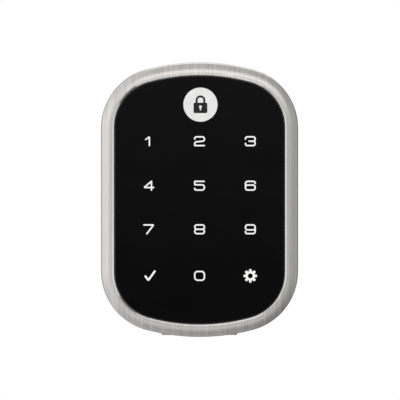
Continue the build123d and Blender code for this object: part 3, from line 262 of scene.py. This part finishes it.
def upright_bricks(tree, repeats, mortar_size, brick, mortar):
    """Brick pattern in the upright plane across the lock."""
    turned = tree.nodes.new("ShaderNodeMapping")
    turned.inputs["Rotation"].default_value = (pi / 2, 0, 0)
    tree.links.new(place(tree, (repeats, repeats, repeats)), turned.inputs["Vector"])
    bricks = tree.nodes.new("ShaderNodeTexBrick")
    bricks.inputs["Scale"].default_value = 1.0
    bricks.inputs["Mortar Size"].default_value = mortar_size
    for socket, colour in zip(("Color1", "Color2", "Mortar"), (*brick, mortar)):
        bricks.inputs[socket].default_value = (*colour, 1.0)
    tree.links.new(turned.outputs["Vector"], bricks.inputs["Vector"])
    return bricks


def inner_edge(tree):
    """1 on slopes that face the middle of the piece, 0 on its faces and outer walls."""
    position = parts_of(tree, "Object")
    normal = parts_of(tree, "Normal")
    outward = math_node(tree, "ADD", math_node(tree, "MULTIPLY", position["X"], normal["X"]),
                        math_node(tree, "MULTIPLY", position["Z"], normal["Z"]))
    return spread(tree, outward, 0.0, 1.0, POLISH_START, POLISH_FULL)


# ---- Materials ----
def brushed_metal(name, colour, roughness, along="z", contrast=0.16, depth=0.8e-6):
    """Metal with straight brush lines along one axis: hairlines over broader, softer bands.

    "wrap" runs the lines up the front and back faces and round the side walls, and polishes
    the edges that face the middle.
    """
    material, tree, shader = material_tree(name, colour, roughness, 1.0)

    def lines(across, down, detail):
        stretch = {"x": (down, across, across), "y": (across, down, across),
                   "z": (across, across, down), "wrap": (across, down, down)}
        face_lines = noise(tree, stretch[along], detail, 0.6)
        if along != "wrap":
            return face_lines
        wall_lines = noise(tree, (down, across, down), detail, 0.6)
        facing = math_node(tree, "ABSOLUTE", parts_of(tree, "Normal")["Y"])
        return blend(tree, spread(tree, facing, 0.0, 1.0, 0.5, 0.7), wall_lines, face_lines)

    hairlines = lines(6000.0, 16.0, 2.0)
    bands = lines(2400.0, 9.0, 1.0)
    mixed = weighted(tree, hairlines, 0.4, bands)
    tree.links.new(ramp(tree, mixed, [(0.36, shade(colour, 1 - contrast)), (0.5, colour),
                                      (0.64, shade(colour, 1 + contrast))]),
                   shader.inputs["Base Color"])
    finish = spread(tree, bands, roughness * 0.85, roughness * 1.2)
    if along == "wrap":
        finish = blend(tree, inner_edge(tree), finish, POLISHED)
    tree.links.new(finish, shader.inputs["Roughness"])
    add_bump(tree, shader, mixed, depth)
    return material


def sheet_metal(name, colour, roughness, spangle=350.0):
    """Plated sheet or turned steel, with soft spangle and handling marks."""
    material, tree, shader = material_tree(name, colour, roughness, 1.0)
    patches = noise(tree, (spangle, spangle, spangle), 2.0)
    marks = noise(tree, (2500.0, 2500.0, 300.0), 3.0)
    tree.links.new(ramp(tree, patches, [(0.32, shade(colour, 0.93)), (0.68, shade(colour, 1.05))]),
                   shader.inputs["Base Color"])
    tree.links.new(spread(tree, marks, roughness * 0.75, roughness * 1.3),
                   shader.inputs["Roughness"])
    add_bump(tree, shader, marks, 1.5e-6)
    return material


def galvanised(name, colour, roughness):
    """Zinc-coated sheet: flat crystals of slightly different tone, with fine rolling lines."""
    material, tree, shader = material_tree(name, colour, roughness, 1.0)
    crystals = tree.nodes.new("ShaderNodeTexVoronoi")
    crystals.inputs["Scale"].default_value = 1.0
    wander = tree.nodes.new("ShaderNodeVectorMath")
    wander.operation = "ADD"
    warp = tree.nodes.new("ShaderNodeTexNoise")
    warp.inputs["Scale"].default_value = 1.0
    tree.links.new(place(tree, (700.0, 700.0, 700.0)), warp.inputs["Vector"])
    tree.links.new(place(tree, (420.0, 420.0, 420.0)), wander.inputs[0])
    tree.links.new(warp.outputs["Color"], wander.inputs[1])
    tree.links.new(wander.outputs["Vector"], crystals.inputs["Vector"])
    tone = tree.nodes.new("ShaderNodeSeparateColor")
    tree.links.new(crystals.outputs["Color"], tone.inputs["Color"])
    rolling = noise(tree, (4000.0, 4000.0, 60.0), 2.0)
    mixed = weighted(tree, tone.outputs["Red"], 0.6, rolling)
    tree.links.new(ramp(tree, mixed, [(0.1, shade(colour, 0.94)), (0.9, shade(colour, 1.06))]),
                   shader.inputs["Base Color"])
    finish = spread(tree, tone.outputs["Green"], roughness * 0.93, roughness * 1.12, 0.0, 1.0)
    tree.links.new(finish, shader.inputs["Roughness"])
    add_bump(tree, shader, mixed, 1.0e-6)
    return material


def grained_plastic(name, colour, roughness, grain=3200.0, depth=8e-6, **sockets):
    """Moulded plastic or rubber with a fine spark-eroded grain and faint flow marks."""
    material, tree, shader = material_tree(name, colour, roughness, 0.0, **sockets)
    pits = noise(tree, (grain, grain, grain), 4.0, 0.6)
    flow = noise(tree, (60.0, 60.0, 60.0), 2.0)
    tree.links.new(ramp(tree, flow, [(0.3, shade(colour, 0.88)), (0.7, shade(colour, 1.12))]),
                   shader.inputs["Base Color"])
    tree.links.new(spread(tree, pits, roughness * 0.88, roughness * 1.12),
                   shader.inputs["Roughness"])
    add_bump(tree, shader, pits, depth)
    return material


def satin_paint(name, colour, roughness):
    """Metallic paint with fine flakes and a little orange peel."""
    material, tree, shader = material_tree(name, colour, roughness, 0.85, Coat_Weight=0.12,
                                           Coat_Roughness=0.3)
    flakes = noise(tree, (9000.0, 9000.0, 9000.0), 2.0, 0.7)
    peel = noise(tree, (900.0, 900.0, 900.0), 2.0)
    tree.links.new(ramp(tree, flakes, [(0.3, shade(colour, 0.9)), (0.7, shade(colour, 1.1))]),
                   shader.inputs["Base Color"])
    tree.links.new(spread(tree, flakes, roughness * 0.9, roughness * 1.15),
                   shader.inputs["Roughness"])
    add_bump(tree, shader, peel, 2.5e-6)
    return material


def black_glass(name):
    """Opaque black glass: polished, with faint wiping smears."""
    material, tree, shader = material_tree(name, (0.0028, 0.0028, 0.003), 0.05, 0.0, IOR=1.5)
    smears = noise(tree, (45.0, 45.0, 110.0), 4.0, 0.6)
    tree.links.new(spread(tree, smears, 0.04, 0.085), shader.inputs["Roughness"])
    tree.links.new(ramp(tree, smears, [(0.3, (0.0024, 0.0024, 0.0026)),
                                       (0.7, (0.0033, 0.0033, 0.0036))]),
                   shader.inputs["Base Color"])
    return material


def white_inlay(name, colour, roughness, glow):
    """White light-passing inlay with a very faint cloudiness."""
    material, tree, shader = material_tree(name, colour, roughness, 0.0,
                                           Emission_Color=(1.0, 1.0, 1.0, 1.0),
                                           Emission_Strength=glow)
    clouds = noise(tree, (400.0, 400.0, 400.0), 2.0)
    tree.links.new(ramp(tree, clouds, [(0.3, shade(colour, 0.96)), (0.7, shade(colour, 1.03))]),
                   shader.inputs["Base Color"])
    tree.links.new(spread(tree, clouds, roughness * 0.9, roughness * 1.1),
                   shader.inputs["Roughness"])
    return material


def clear_plate(name):
    """Moulded clear acrylic, slightly frosted."""
    material, tree, shader = material_tree(name, (0.86, 0.9, 0.92), 0.2, 0.0, IOR=1.49,
                                           Transmission_Weight=0.85)
    frost = noise(tree, (1500.0, 1500.0, 1500.0), 3.0)
    tree.links.new(spread(tree, frost, 0.15, 0.35), shader.inputs["Roughness"])
    add_bump(tree, shader, frost, 4e-6)
    return material


def touch_film(name):
    """Clear film with a net of fine electrodes."""
    colour = (0.32, 0.27, 0.16)
    material, tree, shader = material_tree(name, colour, 0.3)
    net = upright_bricks(tree, 250.0, 0.03, (colour, shade(colour, 0.9)), (0.6, 0.5, 0.3))
    tree.links.new(net.outputs["Color"], shader.inputs["Base Color"])
    add_bump(tree, shader, net.outputs["Fac"], 3e-6)
    return material


def circuit_board(name):
    """Green solder mask over raised copper tracks, with bright pads."""
    mask = (0.012, 0.11, 0.045)
    material, tree, shader = material_tree(name, mask, 0.35, 0.0, Coat_Weight=0.3)
    tracks = upright_bricks(tree, 900.0, 0.06, (mask, shade(mask, 0.85)), (0.03, 0.24, 0.08))
    tracks.inputs["Brick Width"].default_value = 3.2
    pads = tree.nodes.new("ShaderNodeTexVoronoi")
    pads.inputs["Scale"].default_value = 1.0
    tree.links.new(place(tree, (330.0, 330.0, 330.0)), pads.inputs["Vector"])
    distance = pads.outputs["Distance"]
    pad_colour = ramp(tree, distance, [(0.1, (0.75, 0.6, 0.3)), (0.14, mask)])
    is_pad = ramp(tree, distance, [(0.1, (1, 1, 1)), (0.14, (0, 0, 0))])
    tree.links.new(mix_colours(tree, is_pad, tracks.outputs["Color"], pad_colour),
                   shader.inputs["Base Color"])
    add_bump(tree, shader, tracks.outputs["Fac"], 1.5e-5)
    return material


def cell_wrap(name):
    """Cell sleeve: black body, copper band at the nub end, bare steel ends."""
    low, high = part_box("battery_cells")
    middle = (low.y + high.y) / 2
    sleeve_half = (high.z - low.z) / 2 - CELL_SLEEVE_SHORT
    material, tree, shader = material_tree(name, (0.02, 0.02, 0.022), 0.28, 0.0, Coat_Weight=0.4)
    position = parts_of(tree, "Object")
    column = math_node(tree, "SIGN", position["X"])
    row = math_node(tree, "SIGN", math_node(tree, "SUBTRACT", position["Y"], middle))
    nubward = math_node(tree, "MULTIPLY", position["Z"],
                        math_node(tree, "MULTIPLY", column, row))
    in_band = math_node(tree, "GREATER_THAN", nubward, CELL_BAND_START)
    off_middle = math_node(tree, "SUBTRACT", nubward, CELL_SLEEVE_MIDDLE)
    bare = math_node(tree, "GREATER_THAN", math_node(tree, "ABSOLUTE", off_middle), sleeve_half)
    scuffs = noise(tree, (500.0, 500.0, 2000.0), 3.0)
    wrap = ramp(tree, in_band, [(0.4, (0.018, 0.018, 0.02)), (0.6, (0.62, 0.33, 0.14))])
    tree.links.new(mix_colours(tree, bare, wrap, (0.62, 0.62, 0.60)), shader.inputs["Base Color"])
    tree.links.new(math_node(tree, "MAXIMUM", bare, math_node(tree, "MULTIPLY", in_band, 0.8)),
                   shader.inputs["Metallic"])
    tree.links.new(spread(tree, scuffs, 0.2, 0.36), shader.inputs["Roughness"])
    return material


def braid(name):
    """Woven polyester of the cable sleeve."""
    return grained_plastic(name, (0.022, 0.022, 0.024), 0.6, 6000.0, 2e-5, Sheen_Weight=0.3)


def studio_white(name, colour):
    """Plain pale floor."""
    material, tree, shader = material_tree(name, colour, 0.9, Emission_Color=(1.0, 1.0, 1.0, 1.0),
                                           Emission_Strength=FLOOR_GLOW)
    specks = noise(tree, (3.0, 3.0, 3.0), 2.0)
    tree.links.new(ramp(tree, specks, [(0.3, shade(colour, 0.99)), (0.7, colour)]),
                   shader.inputs["Base Color"])
    return material


FINISHES = {
    "satin_nickel": lambda name: brushed_metal(name, NICKEL, 0.34, "wrap", 0.14),
    "cover_nickel": lambda name: satin_paint(name, (0.55, 0.535, 0.51), 0.4),
    "knob_nickel": lambda name: brushed_metal(name, NICKEL, 0.3, "wrap"),
    "black_glass": black_glass,
    "legend_white": lambda name: white_inlay(name, (0.84, 0.84, 0.83), 0.35, 0.12),
    "disc_white": lambda name: white_inlay(name, (0.77, 0.77, 0.765), 0.25, 0.04),
    "symbol_black": lambda name: grained_plastic(name, (0.008, 0.008, 0.0085), 0.25, 900.0, 1e-6),
    "tape_black": lambda name: grained_plastic(name, (0.02, 0.02, 0.02), 0.85, 1800.0, 2e-5),
    "touch_film": touch_film,
    "clear_acrylic": clear_plate,
    "led_white": lambda name: white_inlay(name, (0.85, 0.78, 0.45), 0.4, 0.3),
    "board_green": circuit_board,
    "chip_black": lambda name: grained_plastic(name, (0.018, 0.018, 0.02), 0.5, 5000.0, 6e-6),
    "buzzer_black": lambda name: grained_plastic(name, (0.014, 0.014, 0.015), 0.35, 2500.0, 3e-6),
    "socket_white": lambda name: grained_plastic(name, (0.74, 0.71, 0.61), 0.45, 1500.0, 3e-6,
                                                 Subsurface_Weight=0.05),
    "black_plastic": lambda name: grained_plastic(name, (0.02, 0.02, 0.0215), 0.5, 2600.0, 1.2e-5),
    "gold_contact": lambda name: brushed_metal(name, (0.85, 0.62, 0.27), 0.22, "x", 0.04),
    "plated_steel": lambda name: galvanised(name, STEEL, 0.36),
    "screw_steel": lambda name: sheet_metal(name, SCREW, 0.26, 700.0),
    "black_rubber": lambda name: grained_plastic(name, (0.018, 0.018, 0.018), 0.75, 1800.0, 1e-5),
    "gasket_foam": lambda name: grained_plastic(name, (0.028, 0.028, 0.03), 0.95, 2200.0, 6e-5),
    "post_steel": lambda name: brushed_metal(name, STEEL, 0.3, "x"),
    "cable_sleeve": braid,
    "spring_wire": lambda name: sheet_metal(name, (0.62, 0.62, 0.62), 0.24, 900.0),
    "blade_steel": lambda name: brushed_metal(name, (0.5, 0.49, 0.47), 0.38, "y", 0.08),
    "bronze": lambda name: sheet_metal(name, (0.55, 0.35, 0.16), 0.42, 1600.0),
    "hub_steel": lambda name: brushed_metal(name, STEEL, 0.3, "x"),
    "gear_nylon": lambda name: grained_plastic(name, (0.76, 0.75, 0.69), 0.42, 1200.0, 4e-6,
                                               Subsurface_Weight=0.08),
    "pinion_brass": lambda name: sheet_metal(name, BRASS, 0.3, 900.0),
    "magnet_nickel": lambda name: sheet_metal(name, (0.68, 0.67, 0.65), 0.16, 300.0),
    "motor_steel": lambda name: brushed_metal(name, (0.58, 0.58, 0.57), 0.27, "y"),
    "gearbox_brass": lambda name: sheet_metal(name, BRASS, 0.34, 500.0),
    "cell_wrap": cell_wrap,
    "button_grey": lambda name: grained_plastic(name, (0.06, 0.06, 0.062), 0.55, 3500.0, 1e-5),
    "shield_steel": lambda name: sheet_metal(name, (0.6, 0.6, 0.58), 0.3, 600.0),
}


def dress_nodes():
    """Give every CAD node the finish of its slot, and the terminal block a grey of its own."""
    made = {slot: FINISHES[slot](slot + "_finish") for slot in FINISHES}
    for entry in frame["record"]["subparts"]:
        node = frame["nodes"][entry["node"]]
        node.data.materials.clear()
        node.data.materials.append(made[entry["material_slot"]])
    terminals = frame["nodes"]["terminal_block"].data.materials
    terminals[0] = grained_plastic("terminal_grey", (0.34, 0.34, 0.33), 0.5, 2600.0, 1.2e-5)
    return made


# ---- Pieces modelled here ----
def add_tube(mesh, rings):
    """Closed tube through rings of points that all have the same count."""
    rows = [[mesh.verts.new(point) for point in ring] for ring in rings]
    for lower, upper in zip(rows, rows[1:]):
        for index in range(len(lower)):
            after = (index + 1) % len(lower)
            mesh.faces.new((lower[index], lower[after], upper[after], upper[index]))
    mesh.faces.new(list(reversed(rows[0])))
    mesh.faces.new(rows[-1])


def smooth_piece(name, mesh):
    """Smooth-shaded piece made of a finished mesh."""
    bmesh.ops.recalc_face_normals(mesh, faces=mesh.faces)
    data = bpy.data.meshes.new(name)
    mesh.to_mesh(data)
    mesh.free()
    data.shade_smooth()
    piece = bpy.data.objects.new(name, data)
    scene.collection.objects.link(piece)
    return piece


def tube_piece(name, rings):
    """Smooth-shaded piece that is one closed tube."""
    mesh = bmesh.new()
    add_tube(mesh, rings)
    return smooth_piece(name, mesh)


def round_rings(line, radius, sides):
    """Rings of points round each point of a framed line."""
    return [[point + (side * cos(tau * step / sides) + up * sin(tau * step / sides)) * radius
             for step in range(sides)] for point, side, up in line]


def ring_along_y(centre_x, y, radius_at):
    """Ring of points round an axis along Y. Its radius depends on the angle."""
    points = []
    for step in range(BOLT_SIDES):
        angle = tau * step / BOLT_SIDES
        radius = radius_at(angle)
        points.append((centre_x + radius * cos(angle), y, radius * sin(angle)))
    return points


def thread_rings(centre_x, tip_y, thread_end):
    """Helical thread, which starts at the tip and runs out at the neck."""
    rows = int((thread_end - tip_y) / THREAD_PITCH * THREAD_ROWS)
    rings = []
    for row in range(rows + 1):
        y = tip_y + (thread_end - tip_y) * row / rows
        point_cut = max(0.0, 1 - (y - tip_y) / THREAD_TAPER) * THREAD_DEPTH
        run_out = max(0.0, 1 - (thread_end - y) / THREAD_TAPER)

        def thread(angle, y=y, point_cut=point_cut, run_out=run_out):
            phase = ((y - tip_y) / THREAD_PITCH - angle / tau) % 1.0
            groove = abs(2 * phase - 1)
            return BOLT_SHANK_RADIUS - THREAD_DEPTH * groove * (1 - run_out) - point_cut

        rings.append(ring_along_y(centre_x, y, thread))
    return rings


def head_rings(centre_x, thread_end, seat_y, head_y, head_radius):
    """Neck and rounded head, with a hexagon socket."""
    socket = head_radius * SOCKET_SHARE
    outline = ((thread_end + BOLT_SHOULDER, BOLT_SHANK_RADIUS), (seat_y, BOLT_SHANK_RADIUS),
               (seat_y, head_radius - BOLT_SEAT_EDGE), (seat_y + BOLT_SEAT_EDGE, head_radius),
               (head_y - BOLT_CROWN, head_radius),
               (head_y - BOLT_CROWN * CROWN_BACK, head_radius - BOLT_CROWN * CROWN_IN),
               (head_y, head_radius - BOLT_CROWN))

    def hexagon(angle):
        return socket / cos((angle + pi / 6) % (pi / 3) - pi / 6)

    rings = [ring_along_y(centre_x, y, lambda angle, radius=radius: radius)
             for y, radius in outline]
    rings.append(ring_along_y(centre_x, head_y, lambda angle: hexagon(angle) * SOCKET_RIM))
    rings.append(ring_along_y(centre_x, head_y - SOCKET_RIM_DEPTH, hexagon))
    rings.append(ring_along_y(centre_x, head_y - SOCKET_DEPTH, hexagon))
    return rings


def threaded_bolt(name, centre_x, tip_y, seat_y, head_y, head_radius):
    """Machine screw along Y: helical thread, plain neck, rounded head with a hexagon socket."""
    thread_end = seat_y - BOLT_NECK
    return tube_piece(name, thread_rings(centre_x, tip_y, thread_end)
                      + head_rings(centre_x, thread_end, seat_y, head_y, head_radius))


def through_bolts(materials):
    """Two threaded bolts in place of the plain CAD ones."""
    low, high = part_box("through_bolts")
    head_radius = (high.z - low.z) / 2
    spacing = high.x - head_radius
    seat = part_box("inside_mount_plate")[1].y
    for side, label in ((-1, "left"), (1, "right")):
        bolt = threaded_bolt("through_bolt_" + label, side * spacing, low.y, seat, high.y,
                             head_radius)
        bolt.data.materials.append(materials["screw_steel"])
        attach(bolt, "lock_body")
        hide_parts("through_bolts")


def smooth_route(points):
    """Points along the smooth spline that the route's corners control."""
    curve = bpy.data.curves.new("route", "CURVE")
    curve.dimensions = "3D"
    curve.resolution_u = 24
    spline = curve.splines.new("NURBS")
    spline.points.add(len(points) - 1)
    for control, point in zip(spline.points, points):
        control.co = (*(part * MM for part in point), 1.0)
    spline.order_u = 3
    spline.use_endpoint_u = True
    holder = bpy.data.objects.new("route", curve)
    line = bpy.data.meshes.new_from_object(holder)
    found = [vertex.co.copy() for vertex in line.vertices]
    bpy.data.objects.remove(holder)
    bpy.data.meshes.remove(line)
    return found


def even_points(points, step):
    """The same line with points a fixed step apart."""
    spaced = [points[0]]
    left = step
    for start, end in zip(points, points[1:]):
        run = (end - start).length
        while left <= run:
            spaced.append(start.lerp(end, left / run))
            left += step
        left -= run
    return spaced + [points[-1]]


def frames_along(points):
    """Each point with two directions across the line, turned as little as possible."""
    across = Vector((1, 0, 0))
    placed = []
    for index, point in enumerate(points):
        ahead = points[min(index + 1, len(points) - 1)] - points[max(index - 1, 0)]
        ahead.normalize()
        across = (across - ahead * across.dot(ahead)).normalized()
        placed.append((point, across, ahead.cross(across)))
    return placed


def cable_core(line, materials):
    """Dark core that fills the gaps of the sleeve."""
    core = tube_piece("keypad_cable_core", round_rings(line, CORE_RADIUS, CORE_SIDES))
    core.data.materials.append(materials["cable_sleeve"])
    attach(core, "lock_body")
    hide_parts("keypad_cable")


def strand_rings(line, direction, carrier):
    """Flat strand that winds round the cable, over and under those of the other direction."""
    half_top = STRAND_HALF_WIDE * STRAND_TOP_SHARE
    corners = ((-STRAND_HALF_WIDE, 0), (-half_top, STRAND_HALF_THICK),
               (half_top, STRAND_HALF_THICK), (STRAND_HALF_WIDE, 0),
               (half_top, -STRAND_HALF_THICK), (-half_top, -STRAND_HALF_THICK))
    rings = []
    for index, (point, side, up) in enumerate(line):
        turn = direction * tau * index * CABLE_STEP / BRAID_LAY
        angle = turn + tau * carrier / BRAID_CARRIERS
        weave = direction * BRAID_LIFT * cos(BRAID_CARRIERS * turn)
        out = side * cos(angle) + up * sin(angle)
        round_way = up * cos(angle) - side * sin(angle)
        middle = point + out * (BRAID_RADIUS + weave)
        rings.append([middle + round_way * wide + out * thick for wide, thick in corners])
    return rings


def cable_braid(line, materials):
    """Woven sleeve of strands that wind both ways."""
    sleeve = bmesh.new()
    for direction in (-1, 1):
        for carrier in range(BRAID_CARRIERS):
            add_tube(sleeve, strand_rings(line, direction, carrier))
    piece = smooth_piece("keypad_cable_braid", sleeve)
    piece.data.materials.append(materials["cable_sleeve"])
    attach(piece, "lock_body")
    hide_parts("keypad_cable")


def braided_cable(materials):
    """Door cable: a core under a woven sleeve, on the smooth line of the cable's route."""
    line = frames_along(even_points(smooth_route(CABLE_ROUTE), CABLE_STEP))
    cable_core(line, materials)
    cable_braid(line, materials)


def tamper_coil(materials):
    """Return spring of the tamper plunger, coiled to the length of the CAD spring."""
    low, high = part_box("tamper_spring")
    mean_radius = (high.x - low.x) / 2 - SPRING_WIRE
    centre_z = (low.z + high.z) / 2
    rise = high.y - low.y - 2 * SPRING_WIRE
    steps = SPRING_TURNS * SPRING_STEPS
    line = []
    for step in range(steps + 1):
        angle = tau * step / SPRING_STEPS
        line.append(Vector((mean_radius * cos(angle), low.y + SPRING_WIRE + rise * step / steps,
                            centre_z + mean_radius * sin(angle))))
    coil = tube_piece("tamper_coil", round_rings(frames_along(line), SPRING_WIRE, SPRING_SIDES))
    coil.data.materials.append(materials["spring_wire"])
    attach(coil, "lock_body")
    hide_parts("tamper_spring")
    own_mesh(coil)


# ---- Studio ----
def make_camera():
    """Long lens, almost square on, a little above the middle."""
    data = bpy.data.cameras.new("camera")
    data.sensor_width = SENSOR
    data.lens = SENSOR * CAMERA_DISTANCE / FRAME_WIDTH
    data.clip_end = FAR_CLIP
    camera = bpy.data.objects.new("camera", data)
    scene.collection.objects.link(camera)
    back = Vector((0, -cos(CAMERA_ELEVATION), sin(CAMERA_ELEVATION)))
    camera.location = AIM + back * CAMERA_DISTANCE
    camera.rotation_mode = "QUATERNION"
    camera.rotation_quaternion = (-back).to_track_quat("-Z", "Y")
    scene.camera = camera


def make_floor():
    """Plain pale floor, well below the lock."""
    mesh = bmesh.new()
    bmesh.ops.create_circle(mesh, cap_ends=True, segments=96, radius=FLOOR_RADIUS)
    data = bpy.data.meshes.new("floor")
    mesh.to_mesh(data)
    mesh.free()
    data.materials.append(studio_white("floor_white", (0.93, 0.93, 0.93)))
    floor = bpy.data.objects.new("floor", data)
    floor.location = (0, 0, -FLOOR_DROP)
    floor.visible_glossy = False
    scene.collection.objects.link(floor)


def soft_light(name, direction, distance, size, power):
    """Large area light that faces the lock from a direction."""
    data = bpy.data.lights.new(name, "AREA")
    data.shape = "RECTANGLE"
    data.size, data.size_y = size
    data.energy = power
    light = bpy.data.objects.new(name, data)
    away = Vector(direction).normalized()
    light.location = away * distance
    light.rotation_mode = "QUATERNION"
    light.rotation_quaternion = (-away).to_track_quat("-Z", "Y")
    light.visible_camera = False
    scene.collection.objects.link(light)


def make_world():
    """White surround, a little darker to the right, above and below, and dark straight behind."""
    world = bpy.data.worlds.new("studio")
    world.use_nodes = True
    scene.world = world
    tree = world.node_tree
    background = tree.nodes["Background"]
    direction = parts_of(tree, "Generated")
    right = math_node(tree, "MULTIPLY", direction["X"], SURROUND_RIGHT)
    below = math_node(tree, "MULTIPLY", math_node(tree, "MINIMUM", direction["Z"], 0.0),
                      SURROUND_BELOW)
    above = math_node(tree, "MULTIPLY", math_node(tree, "MAXIMUM", direction["Z"], 0.0),
                      SURROUND_ABOVE)
    backward = math_node(tree, "MAXIMUM", direction["Y"], 0.0)
    behind = math_node(tree, "MULTIPLY",
                       math_node(tree, "POWER", backward, SURROUND_BEHIND_POWER),
                       SURROUND_BEHIND)
    level = math_node(tree, "ADD", math_node(tree, "ADD", right, below),
                      math_node(tree, "ADD", math_node(tree, "ADD", above, behind), SURROUND))
    level = math_node(tree, "MAXIMUM", level, SURROUND_LEAST)
    seen = tree.nodes.new("ShaderNodeLightPath")
    mix = tree.nodes.new("ShaderNodeMix")
    mix.data_type = "FLOAT"
    tree.links.new(seen.outputs["Is Camera Ray"], mix.inputs["Factor"])
    tree.links.new(level, mix.inputs["A"])
    mix.inputs["B"].default_value = SURROUND_SEEN
    background.inputs["Color"].default_value = (1.0, 1.0, 1.0, 1.0)
    tree.links.new(mix.outputs["Result"], background.inputs["Strength"])


def make_flag():
    """Dark card straight in front of the glass, which only its reflection shows."""
    mesh = bmesh.new()
    bmesh.ops.create_grid(mesh, x_segments=1, y_segments=1, size=0.5)
    data = bpy.data.meshes.new("flag")
    mesh.to_mesh(data)
    mesh.free()
    material, tree, shader = material_tree("flag_black", (0.01, 0.01, 0.01), 0.9)
    upward = parts_of(tree, "Object")["Y"]
    tree.links.new(spread(tree, upward, 0.0, FLAG_GLOW, -FLAG_FADE, FLAG_FADE),
                   shader.inputs["Emission Strength"])
    shader.inputs["Emission Color"].default_value = (1.0, 1.0, 1.0, 1.0)
    data.materials.append(material)
    flag = bpy.data.objects.new("flag", data)
    flag.scale = (*FLAG_SIZE, 1.0)
    flag.location = FLAG_PLACE
    flag.rotation_euler = (radians(90), 0, 0)
    flag.visible_camera = False
    flag.visible_diffuse = False
    flag.visible_shadow = False
    scene.collection.objects.link(flag)


scene.view_settings.view_transform = "Standard"
make_camera()
finishes = dress_nodes()
through_bolts(finishes)
braided_cable(finishes)
tamper_coil(finishes)
make_world()
make_floor()
make_flag()
for light in LIGHTS:
    soft_light(*light)
